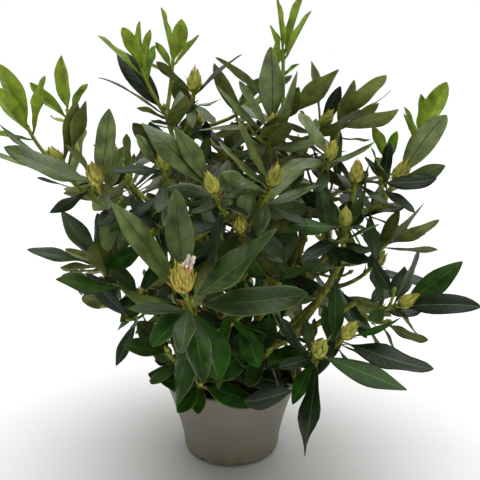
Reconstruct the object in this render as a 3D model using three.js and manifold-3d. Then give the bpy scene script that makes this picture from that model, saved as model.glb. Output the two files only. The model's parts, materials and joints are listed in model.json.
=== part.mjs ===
// A young rhododendron in its nursery pot: pot, root ball, short trunk, boughs and masses of foliage.
// Millimetres, +Z up, +Y to the back. The origin is the middle of the pot's flat underside.
// Every bough is one tapering limb, and every mass of foliage is one solid of twigs, leaves and buds
// that starts 0.3 mm clear of its bough's tip.
import * as THREE from 'three';
import { mergeVertices } from 'three/addons/utils/BufferGeometryUtils.js';
import Module from 'manifold-3d';

const wasm = await Module();
wasm.setup();
const { Manifold } = wasm;

// ---- driving dimensions ----
const CLEAR = 0.3; // gap between pieces that touch
const SLIVERS = [0.5, 0.45, 0.4, 0.35, 0.3, 0.2, 0.1]; // steps smoothed away after a join, coarsest first
const FLAT = [0.05, 0.02, 0.01]; // the same after a cut, so that flat faces stay whole
const APART = 1; // least gap between the leaves of one mass and anything of another

const POT_HEIGHT = 105;
const POT_FOOT_RADIUS = 56; // flat underside
const POT_BASE_RADIUS = 61; // above the rounded foot
const POT_RIM_RADIUS = 88;
const POT_FOOT_HEIGHT = 8;
const POT_FLARE = 1.4; // how late the wall flares out
const POT_WALL = 2;
const POT_FLOOR = 8;
const POT_SIDES = 32;
const NOTCHES = 8; // drain notches round the foot
const NOTCH_WIDTH = 8;
const NOTCH_HEIGHT = 6.5;
const NOTCH_DEPTH = 9;
const NOTCH_TURN = 10;

const SOIL_TOP = 90;
const SOIL_EDGE_DROP = 3;

const TRUNK_TOP = 160;
const TRUNK_RADIUS = 9; // above the root flare
const TRUNK_TIP_RADIUS = 7;
const TRUNK_FLARE = 6; // extra radius at the ground
const TRUNK_SIDES = 8;
const TRUNK_STEPS = 5;

const BOUGH_BASE_RADIUS = 5.4;
const BOUGH_TIP_RADIUS = 3.8;
const BOUGH_SIDES = 5;
const BOUGH_STEPS = 4;

const STEM_RADIUS = 3.8; // stem that joins a mass to its bough
const STEM_LENGTH = 12;
const TWIG_BASE_RADIUS = 3.5;
const TWIG_TIP_RADIUS = 2.8;
const TWIG_SIDES = 3;
const TWIG_STEPS = 3;

const GOLDEN_ANGLE = 137.5;
const LEAF_THICK = 0.017; // keel depth, as a share of the leaf's length
const LEAF_SUNK = 1; // how far a leaf's root passes the middle of its twig
const WHORL_SPACING = 4; // along the twig, from leaf to leaf
const OLDER_LEAVES = 3; // leaves on the twig below its end whorl
const OLDER_BACK = 42; // how far below the twig's tip they start
const OLDER_OPENING = 74; // degrees from the twig to the first of them
const OLDER_STEP = 7; // and then for each next one
const OUTER_OPENING = 46; // degrees that a leaf opens further on the outside of the crown
const OPENING_SPREAD = 12; // how much the openings differ by chance, in degrees
const TWIST_SPREAD = 50; // how much leaves are rolled by chance, in degrees
const NEW_SUNK = 6; // how deep new growth starts below the tip of the whorl before it

// Leaves and end bud of each kind of shoot. Lengths in mm, half widths as a share of the length,
// openings in degrees from the twig to the youngest leaf, and then for each older leaf.
const KINDS = {
  bud: { leaf: 86, half: 0.135, opening: 34, step: 8, clear: 36, bud: [7.5, 15] },
  old: { leaf: 84, half: 0.14, opening: 36, step: 8, clear: 36, bud: null },
  low: { leaf: 64, half: 0.19, opening: 42, step: 8, clear: 40, bud: null },
  broad: { leaf: 66, half: 0.27, opening: 60, step: 8, clear: 40, bud: null },
  new: { leaf: 62, half: 0.135, opening: 18, step: 9, clear: 30, bud: null },
  flower: { leaf: 100, half: 0.13, opening: 34, step: 8, clear: 36, bud: [13, 17] },
};

// A shoot: its kind, the point where its whorl sits, its number of leaves, the turn of its spiral,
// and the leaves that are set by hand as [bearing, rise, length], then for some how far below the
// tip they start and how far they are rolled. Bearing 0 is +X and 90 is the back.
const shoot = (kind, tip, leaves, turn, ...set) => ({ kind, tip, leaves, turn, set });

// A limb: its name, its tip, what it springs from and where, and its shoots. On the trunk the place
// is a height, and on another limb it is a share of that limb's length.
const limb = (name, tip, parent, place, ...shoots) => ({ name, tip, parent, place, shoots });

const FRONT_LIMBS = [
  limb('front', [-30, -112, 205], 'trunk', 122,
    shoot('flower', [-42, -172, 262], 7, 60,
      [120, 80, 105], [185, 55, 120], [0, 40, 115], [0, 5, 120], [-90, -15, 75], [-75, -35, 85],
      [-155, 10, 65]),
    shoot('old', [3, -128, 232], 5, 40,
      [-105, -35, 60], [-50, -30, 45]),
    shoot('broad', [-37, -150, 245], 2, 60,
      [-105, -25, 65], [-75, -45, 80])),
  limb('front_right', [78, -95, 160], 'trunk', 104,
    shoot('bud', [123, -120, 197], 6, 0,
      [-10, 25, 65], [-20, -10, 100], [-20, -20, 80], [-55, -25, 45], [80, 75, 70], [110, 70, 50]),
    shoot('bud', [92, -142, 188], 6, 60,
      [-110, -50, 105], [-30, -10, 98], [-140, 5, 55], [-135, -50, 55], [120, 65, 45])),
  limb('front_left', [-32, -95, 138], 'trunk', 101,
    shoot('low', [-31, -136, 148], 7, 0,
      [-10, -15, 65], [10, 15, 65], [-155, 20, 50], [-125, -25, 42], [-90, -40, 36], [60, 25, 50]),
    shoot('low', [-66, -122, 180], 6, 90,
      [-175, 15, 52], [175, 30, 55], [165, 45, 60], [-115, -5, 50], [-50, 65, 50])),
  limb('front_low', [22, -92, 150], 'front_right', 0.35,
    shoot('low', [42, -110, 174], 6, 0,
      [-65, -40, 45], [-115, -15, 50], [5, 20, 45], [-140, 30, 48], [-10, -5, 55])),
  limb('left_far', [-125, -20, 300], 'trunk', 134,
    shoot('bud', [-195, -25, 367], 6, 20,
      [15, 75, 80], [-160, 40, 90, 8, 20], [-160, 20, 90, 12, 25], [-140, 25, 70, 50]),
    shoot('new', [-233, -12, 409], 4, 0,
      [-150, 70, 80], [-130, 50, 72], [15, 75, 72]),
    shoot('bud', [-145, -65, 354], 6, 60,
      [-165, 25, 105], [20, 80, 88], [180, 85, 88], [-70, -15, 45], [15, 65, 60]),
    shoot('new', [-201, 45, 424], 4, 90,
      [115, 75, 75], [40, 55, 50], [-145, 45, 65])),
  limb('left_mid', [-112, -28, 212], 'left_far', 0.38,
    shoot('bud', [-158, -30, 251], 7, 150,
      [-160, 20, 85], [-135, 5, 50], [185, 60, 88], [-70, 5, 50]),
    shoot('old', [-101, -64, 228], 6, 30,
      [-140, 20, 108], [-95, -10, 55], [150, 30, 55], [50, 40, 50])),
  limb('top_left', [-55, 35, 350], 'trunk', 150,
    shoot('old', [-80, 35, 427], 7, 10,
      [160, 50, 100], [-175, 30, 93], [-145, 20, 45], [-130, 10, 30], [15, 40, 50]),
    shoot('new', [-108, 40, 479], 5, 30,
      [-115, 50, 60], [160, 88, 60], [-10, 80, 55], [-165, 42, 74]),
    shoot('new', [-72, 66, 489], 5, 80,
      [130, 70, 70], [-60, 60, 60], [-5, 55, 54], [-165, 60, 40]),
    shoot('bud', [-46, 55, 450], 5, 120,
      [-165, 40, 60], [5, 40, 80], [-115, -40, 50], [-55, -25, 55], [45, 10, 50])),
  limb('upper_left', [-66, -22, 300], 'top_left', 0.42,
    shoot('bud', [-73, -45, 367], 7, 200,
      [-140, 5, 70], [175, 55, 55], [170, 75, 65], [-95, -30, 55], [-50, -10, 45]),
    shoot('bud', [-121, -8, 350], 6, 100,
      [145, 45, 65], [120, 80, 60], [-115, -10, 50]),
    shoot('old', [-86, -62, 298], 5, 70,
      [-140, 15, 60], [145, 40, 55])),
  limb('top_centre', [42, 30, 345], 'trunk', 136,
    shoot('bud', [48, 0, 404], 8, 75,
      [-105, 85, 100], [180, 60, 76], [180, 45, 90], [-10, 70, 90], [-125, -15, 45], [-15, 10, 60]),
    shoot('old', [66, 58, 425], 5, 30,
      [180, 35, 115]),
    shoot('new', [64, 60, 495], 4, 10,
      [-125, 75, 72], [25, 70, 85], [-20, 60, 70], [-170, 70, 52]),
    shoot('bud', [115, 60, 407], 7, 140,
      [125, 75, 86], [30, 60, 64], [-130, 35, 50], [5, 20, 60])),
  limb('upper_front', [14, -55, 285], 'front', 0.4,
    shoot('bud', [45, -85, 355], 8, 30,
      [135, 55, 86], [155, 40, 80], [-150, 25, 64], [-155, 10, 56], [-100, -30, 60], [-45, -15, 63],
      [0, 20, 65]),
    shoot('bud', [11, -100, 311], 6, 150,
      [70, 55, 50], [155, 35, 45], [-35, -25, 60], [35, -10, 40], [-135, -25, 45]),
    shoot('old', [50, -92, 248], 5, 20,
      [-10, 20, 62], [40, 45, 60], [-130, 35, 50], [-20, -25, 52]),
    shoot('bud', [-16, -115, 354], 7, 40,
      [-170, 45, 102], [-175, 55, 82], [180, 10, 54], [0, 40, 50], [-145, -10, 36], [-60, 20, 40])),
  limb('right_far', [148, 10, 290], 'trunk', 130,
    shoot('bud', [193, -20, 350], 6, 30,
      [-40, 55, 98], [-35, 25, 66, 8, -35], [150, 45, 50], [-65, -20, 50]),
    shoot('new', [233, 36, 392], 4, 60,
      [-55, 65, 80], [130, 88, 62], [-160, 60, 48]),
    shoot('bud', [176, 0, 316], 6, 0,
      [145, 35, 66], [-150, 5, 56], [-45, 15, 45], [10, 65, 64]),
    shoot('new', [195, 40, 366], 3, 0,
      [-140, 55, 60], [35, 70, 46], [-120, 25, 44]),
    shoot('old', [112, -22, 318], 5, 50,
      [130, 20, 50], [-165, 0, 50])),
  limb('top_right', [102, 15, 325], 'right_far', 0.45,
    shoot('old', [136, 42, 417], 7, 10,
      [-50, 40, 86], [20, 30, 82], [-35, 10, 96], [-25, 35, 60], [-10, 75, 68], [-50, 0, 54]),
    shoot('bud', [112, -40, 380], 5, 100,
      [145, 50, 65], [-140, -5, 63], [5, 25, 60], [-25, 0, 60], [-110, -30, 45])),
  limb('right_low', [140, -35, 200], 'trunk', 112,
    shoot('bud', [197, -60, 212], 7, 40,
      [-10, 40, 88], [-30, 15, 96, 8, -45], [20, 65, 74], [-10, 20, 42], [-125, 0, 48], [95, 35, 60]),
    shoot('old', [190, -20, 175], 5, 100,
      [-45, -5, 62], [-70, -35, 55])),
  limb('right_mid', [120, -58, 250], 'right_low', 0.5,
    shoot('bud', [123, -92, 314], 7, 200,
      [-165, 5, 67], [-140, -10, 66, 24], [-65, 0, 50, 24], [150, 60, 58], [10, 65, 54], [-40, 30, 50]),
    shoot('bud', [140, -50, 354], 4, 100,
      [-45, -20, 50], [115, 40, 48], [-135, 0, 44]),
    shoot('old', [187, -14, 273], 7, 0,
      [-15, 30, 70], [-10, 0, 64], [0, 50, 72], [-120, -15, 40], [5, 65, 58], [-160, 50, 50])),
];

// The back of the crown is grown by rule: a low limb on each of these bearings, and a high one on
// all but the first.
const BACK_BEARINGS = [18, 54, 90, 126, 162];
const BACK_FEET = [99, 116, 105, 118, 108]; // heights on the trunk

const UP = new THREE.Vector3(0, 0, 1);
const radians = THREE.MathUtils.degToRad;
const vector = (values) => new THREE.Vector3(...values);
const mix = THREE.MathUtils.lerp;

// A point out from the plant's middle on a bearing, at a height.
function around(bearing, out, height) {
  return [out * Math.cos(radians(bearing)), out * Math.sin(radians(bearing)), height];
}

// A direction from a bearing and a rise.
function heading(bearing, rise) {
  return vector(around(bearing, Math.cos(radians(rise)), Math.sin(radians(rise))));
}

// The same number from 0 to 1 each time for one shoot, leaf and question.
function chance(shootNumber, leafNumber, question) {
  const wave = Math.sin(shootNumber * 127.1 + leafNumber * 311.7 + question * 74.7) * 43758.5453;
  return wave - Math.floor(wave);
}

function backLimbs() {
  const limbs = [];
  BACK_BEARINGS.forEach((bearing, index) => {
    const odd = index % 2;
    const low = `back_low_${index + 1}`;
    limbs.push(limb(low, around(bearing, 125, 190 + 8 * odd), 'trunk', BACK_FEET[index],
      shoot('bud', around(bearing - 10, 180, 232 + 10 * odd), 6, 70 * index),
      shoot('old', around(bearing + 10, 165, 180 - 8 * odd), 6, 110 + 50 * index)));
    if (index > 0) {
      const shoots = [
        shoot('bud', around(bearing - 20, 182, 322), 6, 40 * index),
        shoot('bud', around(bearing, 150, 362), 6, 40 + 60 * index),
      ];
      if (!odd) shoots.push(shoot('new', around(bearing + 4, 168, 372), 4, 30 * index));
      limbs.push(limb(`back_high_${index + 1}`, around(bearing - 6, 108, 285), low, 0.45, ...shoots));
    }
  });
  limbs.push(limb('back_top', [5, 95, 345], 'top_centre', 0.4,
    shoot('bud', [15, 112, 420], 8, 0),
    shoot('bud', [-45, 125, 405], 7, 100),
    shoot('new', [50, 125, 455], 4, 30),
    shoot('old', [-12, 62, 372], 5, 60)));
  return limbs;
}

const LIMBS = [...FRONT_LIMBS, ...backLimbs()];

// ---- materials ----
const paint = (color, roughness) => new THREE.MeshStandardMaterial({ color, roughness, metalness: 0 });
const POT_PLASTIC = paint(0x676159, 0.7);
const SOIL_MIX = paint(0x2b2018, 1);
const BARK = paint(0x706a3c, 0.85);
const FOLIAGE = paint(0x3d5228, 0.5);

// ---- solids ----

function toSolid(geometry) {
  geometry.deleteAttribute('normal');
  geometry.deleteAttribute('uv');
  const merged = mergeVertices(geometry, 1e-4);
  return new Manifold(new wasm.Mesh({
    numProp: 3,
    vertProperties: merged.attributes.position.array,
    triVerts: new Uint32Array(merged.index.array),
  }));
}

function toMesh(name, solid, material) {
  const { vertProperties, triVerts } = solid.getMesh();
  const geometry = new THREE.BufferGeometry();
  geometry.setAttribute('position', new THREE.BufferAttribute(vertProperties, 3));
  geometry.setIndex(new THREE.BufferAttribute(triVerts, 1));
  geometry.computeVertexNormals();
  const mesh = new THREE.Mesh(geometry, material);
  mesh.name = name;
  return mesh;
}

// The one body that counts after a cut: loose scraps are dropped, and sealed hollows filled.
function mainBody(solid) {
  return solid.decompose().reduce((best, body) => (body.volume() > best.volume() ? body : best));
}

// Whether every edge still joins two faces once points closer than a micrometre are one.
function isClean(solid) {
  const { vertProperties, triVerts } = solid.getMesh();
  const rounded = Array.from(vertProperties, (value) => Math.round(1000 * value));
  const corner = (index) => rounded.slice(3 * index, 3 * index + 3).join();
  const faces = new Map();
  for (let index = 0; index < triVerts.length; index += 3) {
    const corners = [0, 1, 2].map((offset) => corner(triVerts[index + offset]));
    if (new Set(corners).size < 3) return false;
    corners.forEach((from, offset) => {
      const edge = [from, corners[(offset + 1) % 3]].sort().join(' ');
      faces.set(edge, (faces.get(edge) ?? 0) + 1);
    });
  }
  return [...faces.values()].every((count) => count === 2);
}

// One clean body with slivers smoothed away, as far as that pinches no edge, or null.
function tidy(solid, sizes) {
  const whole = solid.asOriginal();
  for (const size of sizes) {
    const body = mainBody(whole.simplify(size));
    if (isClean(body)) return body;
  }
  return null;
}

// Twigs and leaves as one solid. If two leaves just graze each other, one of them is left out.
function fused(twigs, leaves) {
  const choices = [leaves, ...leaves.map((grazing) => leaves.filter((leaf) => leaf !== grazing))];
  for (const choice of choices) {
    const body = tidy(Manifold.union([...twigs, ...choice]), SLIVERS);
    if (body) return body;
  }
  throw new Error('a mass has a pinched edge');
}

// A cylinder bent along a curve, with its radius given for each share of the length.
function limbSolid(curve, radiusAt, sides, steps) {
  const geometry = new THREE.CylinderGeometry(1, 1, 1, sides, steps);
  const place = geometry.attributes.position;
  const vertex = new THREE.Vector3();
  for (let index = 0; index < place.count; index += 1) {
    vertex.fromBufferAttribute(place, index);
    const share = vertex.y + 0.5;
    const along = curve.getTangent(share);
    const side = new THREE.Vector3(0, 1, 0).cross(along);
    if (side.length() < 0.3) side.copy(UP).cross(along);
    side.normalize();
    const face = side.clone().cross(along);
    const radius = radiusAt(share);
    const point = curve.getPoint(share)
      .addScaledVector(side, vertex.x * radius)
      .addScaledVector(face, vertex.z * radius);
    place.setXYZ(index, point.x, point.y, point.z);
  }
  return toSolid(geometry);
}

function potRadius(height) {
  if (height < POT_FOOT_HEIGHT) {
    const lift = 1 - height / POT_FOOT_HEIGHT;
    return mix(POT_FOOT_RADIUS, POT_BASE_RADIUS, Math.sqrt(1 - lift * lift));
  }
  const share = (height - POT_FOOT_HEIGHT) / (POT_HEIGHT - POT_FOOT_HEIGHT);
  return mix(POT_BASE_RADIUS, POT_RIM_RADIUS, share ** POT_FLARE);
}

// Points of the wall from one height to another, set in from its outside.
function wallPoints(low, high, inset, count) {
  return Array.from({ length: count + 1 }, (_, index) => {
    const height = mix(low, high, index / count);
    return new THREE.Vector2(potRadius(height) - inset, height);
  });
}

function turned(outline) {
  return toSolid(new THREE.LatheGeometry(outline, POT_SIDES).rotateX(Math.PI / 2));
}

function potSolid() {
  const outline = [
    new THREE.Vector2(0, 0),
    ...wallPoints(0, POT_FOOT_HEIGHT, 0, 2),
    ...wallPoints(POT_FOOT_HEIGHT, POT_HEIGHT, 0, 5).slice(1),
    ...wallPoints(POT_FLOOR, POT_HEIGHT, POT_WALL, 4).reverse(),
    new THREE.Vector2(0, POT_FLOOR),
  ];
  let pot = turned(outline);
  for (let index = 0; index < NOTCHES; index += 1) {
    const notch = new THREE.BoxGeometry(NOTCH_DEPTH, NOTCH_WIDTH, 2 * NOTCH_HEIGHT);
    notch.translate(POT_BASE_RADIUS, 0, 0);
    notch.rotateZ(radians(NOTCH_TURN + (360 / NOTCHES) * index));
    pot = pot.subtract(toSolid(notch));
  }
  return tidy(pot, FLAT);
}

function soilSolid() {
  const outline = [
    new THREE.Vector2(0, POT_FLOOR + CLEAR),
    ...wallPoints(POT_FLOOR + CLEAR, SOIL_TOP - SOIL_EDGE_DROP, POT_WALL + CLEAR, 4),
    new THREE.Vector2(2 * TRUNK_RADIUS + TRUNK_FLARE, SOIL_TOP),
    new THREE.Vector2(0, SOIL_TOP),
  ];
  return turned(outline);
}

const TRUNK_CURVE = new THREE.LineCurve3(
  new THREE.Vector3(0, 0, SOIL_TOP + CLEAR),
  new THREE.Vector3(0, 0, TRUNK_TOP),
);

function trunkRadius(share) {
  return mix(TRUNK_RADIUS, TRUNK_TIP_RADIUS, share) + TRUNK_FLARE * (1 - share) ** 6;
}

function boughRadius(share) {
  return mix(BOUGH_BASE_RADIUS, BOUGH_TIP_RADIUS, share);
}

// A bough leaves its parent outwards and then bends up to its tip.
function boughCurve(spec) {
  const onTrunk = spec.parent === 'trunk';
  const start = onTrunk
    ? new THREE.Vector3(0, 0, spec.place)
    : boughCurve(LIMBS.find((other) => other.name === spec.parent)).getPoint(spec.place);
  const tip = vector(spec.tip);
  const reach = tip.clone().sub(start);
  const outward = onTrunk ? 0.42 : 0.55;
  const upward = onTrunk ? 0.3 : 0.38;
  const bend = start.clone().add(new THREE.Vector3(reach.x * outward, reach.y * outward, reach.z * upward));
  return new THREE.QuadraticBezierCurve3(start, bend, tip);
}

const grown = (radiusAt) => (share) => radiusAt(share) + CLEAR;

function boughSolid(spec) {
  const bough = limbSolid(boughCurve(spec), boughRadius, BOUGH_SIDES, BOUGH_STEPS);
  const trunk = limbSolid(TRUNK_CURVE, grown(trunkRadius), TRUNK_SIDES, TRUNK_STEPS);
  let cut = bough.subtract(trunk);
  if (spec.parent !== 'trunk') {
    const parent = LIMBS.find((other) => other.name === spec.parent);
    cut = cut.subtract(limbSolid(boughCurve(parent), grown(boughRadius), BOUGH_SIDES, BOUGH_STEPS));
  }
  return tidy(mainBody(cut), FLAT);
}

// The twigs of a mass: each ends in a whorl, and new growth starts in the whorl before it.
function massShoots(spec, firstNumber) {
  const bough = boughCurve(spec);
  const along = bough.getTangent(1);
  const root = bough.getPoint(1).addScaledVector(along, CLEAR);
  const fork = root.clone().addScaledVector(along, STEM_LENGTH);
  let whorl = null;
  const shoots = spec.shoots.map((row, index) => {
    const tip = vector(row.tip);
    const isNew = row.kind === 'new' && whorl;
    const start = isNew ? whorl.tip.clone().addScaledVector(whorl.aim, -NEW_SUNK) : fork;
    const reach = tip.clone().sub(start);
    const aim = reach.clone().normalize().multiplyScalar(0.6).addScaledVector(UP, 0.4).normalize();
    const bend = tip.clone().addScaledVector(aim, -0.5 * reach.length());
    const grownShoot = {
      ...row,
      number: firstNumber + index,
      tip,
      aim,
      reach: reach.length(),
      curve: new THREE.QuadraticBezierCurve3(start, bend, tip),
    };
    if (row.kind !== 'new') whorl = grownShoot;
    return grownShoot;
  });
  return { stem: new THREE.LineCurve3(root, fork), shoots };
}

// Each leaf's direction, length, distance below the tip and roll: first those set by hand, then a
// spiral that fills the room they leave, then the older leaves further down the twig.
function leafPlan(grownShoot) {
  const { kind, aim, number, leaves, turn, tip, reach, set } = grownShoot;
  const { leaf, opening, step, clear } = KINDS[kind];
  const side = new THREE.Vector3(0, 1, 0).cross(aim).normalize();
  const face = side.clone().cross(aim);
  const outwards = new THREE.Vector3(tip.x, tip.y, 0).normalize();
  const spiral = (index, open) => {
    const angle = radians(turn + GOLDEN_ANGLE * index);
    const out = side.clone().multiplyScalar(Math.cos(angle)).addScaledVector(face, Math.sin(angle));
    const wide = radians(open + OUTER_OPENING * Math.max(0, out.dot(outwards)));
    return aim.clone().multiplyScalar(Math.cos(wide)).addScaledVector(out, Math.sin(wide));
  };
  const whorlBack = (index) => WHORL_SPACING * (index + 1);
  const plan = set.map(([bearing, rise, length, back, roll], index) => (
    { direction: heading(bearing, rise), length, back: back ?? whorlBack(index), roll: roll ?? 0 }));
  for (let index = 0; plan.length < leaves && index < 5 * leaves; index += 1) {
    const open = opening + step * (index % leaves) + OPENING_SPREAD * (chance(number, index, 1) - 0.5);
    const direction = spiral(index, open);
    if (plan.every((other) => other.direction.angleTo(direction) > radians(clear))) {
      const length = leaf * mix(0.84, 1.1, chance(number, index, 3));
      plan.push({ direction, length, back: whorlBack(plan.length), roll: 0 });
    }
  }
  for (let index = 0; kind !== 'new' && index < OLDER_LEAVES; index += 1) {
    const back = OLDER_BACK + 10 * index;
    if (back > reach - 4) break;
    const direction = spiral(leaves + 2 * index, OLDER_OPENING + OLDER_STEP * index);
    plan.push({ direction, length: 0.9 * leaf, back, roll: 0 });
  }
  return plan;
}

// A leaf's middle line and the way it faces: the upper side looks to the twig's tip, and the leaf
// sags under its own weight, except for new growth, which curls up.
function leafFrame(grownShoot, item, index) {
  const { kind, aim, number, reach, curve } = grownShoot;
  const droop = kind === 'new' ? -0.05 : mix(0.04, 0.17, chance(number, index, 2));
  const start = item.direction.clone().addScaledVector(UP, droop);
  const along = start.clone().normalize();
  const face = aim.clone().addScaledVector(along, -aim.dot(along));
  if (face.length() < 0.2) face.set(0, -1, 0).addScaledVector(along, along.y);
  face.normalize();
  const twist = radians(TWIST_SPREAD * (chance(number, index, 4) - 0.5) + item.roll);
  const level = along.clone().cross(face);
  const across = level.clone().multiplyScalar(Math.cos(twist)).addScaledVector(face, Math.sin(twist));
  const over = across.clone().cross(along).normalize();
  const root = curve.getPoint(Math.max(0, 1 - item.back / reach)).addScaledVector(along, -LEAF_SUNK);
  const half = item.length * KINDS[kind].half * mix(0.9, 1.15, chance(number, index, 5));
  return { root, start, droop, across, over, length: item.length, half };
}

// A leaf blade with two edges and a keel: a root point, two rings and a tip.
const BLADE_RINGS = [{ share: 0 }, { share: 0.38, width: 1 }, { share: 0.74, width: 0.78 }, { share: 1 }];
const STALK_SHARE = 0.24; // where two leaves of one twig may still touch
const BLADE_CORNERS = [{ across: -1, over: 0.2 }, { across: 0, over: -1 }, { across: 1, over: 0.2 }];

function leafSolid(frame, rootShare = 0) {
  const geometry = new THREE.SphereGeometry(1, BLADE_CORNERS.length, BLADE_RINGS.length - 1);
  const place = geometry.attributes.position;
  const columns = BLADE_CORNERS.length + 1;
  for (let index = 0; index < place.count; index += 1) {
    const ring = BLADE_RINGS[Math.floor(index / columns)];
    const corner = BLADE_CORNERS[(index % columns) % BLADE_CORNERS.length];
    const share = Math.max(rootShare, ring.share);
    const point = frame.root.clone()
      .addScaledVector(frame.start, frame.length * share)
      .addScaledVector(UP, -frame.length * frame.droop * share ** 2);
    if (ring.width) {
      point.addScaledVector(frame.across, corner.across * frame.half * ring.width);
      point.addScaledVector(frame.over, corner.over * frame.length * LEAF_THICK);
    }
    place.setXYZ(index, point.x, point.y, point.z);
  }
  return toSolid(geometry);
}

function budSolid(grownShoot) {
  const [radius, half] = KINDS[grownShoot.kind].bud;
  const bud = new THREE.SphereGeometry(1, 6, 4);
  bud.scale(radius, half, radius);
  const middle = grownShoot.tip.clone().addScaledVector(grownShoot.aim, 0.75 * half);
  const turn = new THREE.Quaternion().setFromUnitVectors(new THREE.Vector3(0, 1, 0), grownShoot.aim);
  bud.applyMatrix4(new THREE.Matrix4().compose(middle, turn, new THREE.Vector3(1, 1, 1)));
  return toSolid(bud);
}

function twigSolid(grownShoot) {
  const radiusAt = (share) => mix(TWIG_BASE_RADIUS, TWIG_TIP_RADIUS, share);
  return limbSolid(grownShoot.curve, radiusAt, TWIG_SIDES, TWIG_STEPS);
}

// ---- room: what is already in place, so that leaves keep out of it ----
const placed = [];

function keep(owner, solid, blade = null) {
  placed.push({ owner, solid, blade, box: solid.boundingBox() });
}

// Whole leaves are set against other masses, and blades against the blades of their own mass.
function isFree(owner, leaf, blade) {
  const box = leaf.boundingBox();
  return placed.every((other) => {
    const far = [0, 1, 2].some((axis) => (
      other.box.min[axis] > box.max[axis] + APART || other.box.max[axis] < box.min[axis] - APART));
    if (far) return true;
    if (other.owner !== owner) return leaf.minGap(other.solid, APART) >= APART;
    return !other.blade || blade.minGap(other.blade, APART) >= APART;
  });
}

// A leaf that would touch another piece is turned round its twig a little, or left out.
const NUDGES = [0, 10, -10, 20, -20, 30, -30];

function placeLeaf(owner, grownShoot, item, index) {
  for (const nudge of NUDGES) {
    const direction = item.direction.clone().applyAxisAngle(grownShoot.aim, radians(nudge));
    const frame = leafFrame(grownShoot, { ...item, direction }, index);
    const leaf = leafSolid(frame);
    const blade = leafSolid(frame, STALK_SHARE);
    if (isFree(owner, leaf, blade)) {
      keep(owner, leaf, blade);
      return leaf;
    }
  }
  return null;
}

// ---- the plant in its pot ----
const rhododendron = new THREE.Group();

const pot = potSolid();
const soil = soilSolid();
const trunk = limbSolid(TRUNK_CURVE, trunkRadius, TRUNK_SIDES, TRUNK_STEPS);
rhododendron.add(toMesh('pot', pot, POT_PLASTIC));
rhododendron.add(toMesh('root_ball', soil, SOIL_MIX));
rhododendron.add(toMesh('trunk', trunk, BARK));
[pot, soil, trunk].forEach((solid) => keep('ground', solid));

for (const spec of LIMBS) {
  const bough = boughSolid(spec);
  keep('limb', bough);
  rhododendron.add(toMesh(`bough_${spec.name}`, bough, BARK));
}

let shootCount = 0;
const masses = LIMBS.map((spec) => {
  const { stem, shoots } = massShoots(spec, shootCount);
  shootCount += shoots.length;
  const twigs = [
    limbSolid(stem, () => STEM_RADIUS, TWIG_SIDES, 1),
    ...shoots.map(twigSolid),
    ...shoots.filter((item) => KINDS[item.kind].bud).map(budSolid),
  ];
  twigs.forEach((solid) => keep(spec.name, solid));
  return { name: spec.name, twigs, shoots, leaves: [] };
});

// Leaves set by hand take their room first, all over the crown, and the rest fill what is left.
for (const isHandSet of [true, false]) {
  for (const { name, shoots, leaves } of masses) {
    for (const grownShoot of shoots) {
      leafPlan(grownShoot).forEach((item, index) => {
        if (index < grownShoot.set.length === isHandSet) {
          leaves.push(placeLeaf(name, grownShoot, item, index));
        }
      });
    }
  }
}

for (const { name, twigs, leaves } of masses) {
  rhododendron.add(toMesh(`leaves_${name}`, fused(twigs, leaves.filter((leaf) => leaf)), FOLIAGE));
}

export default rhododendron;
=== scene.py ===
"""A young rhododendron in a flared nursery pot, dressed over its CAD frame.

The frame's trunk and boughs get a mesh with the bark's relief, and its masses of foliage become
twigs, leaves and buds that grow from the limbs by the rule of the CAD source, carried on to finer
side twigs. Growth is worked out in millimetres and meshes are made in metres. +Z is up, +Y the back.
"""

import json
import math
from functools import lru_cache

import bpy
import numpy as np
from bpy.props import FloatProperty, FloatVectorProperty, IntProperty, PointerProperty
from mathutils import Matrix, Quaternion, Vector, noise
from mathutils.bvhtree import BVHTree

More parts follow.
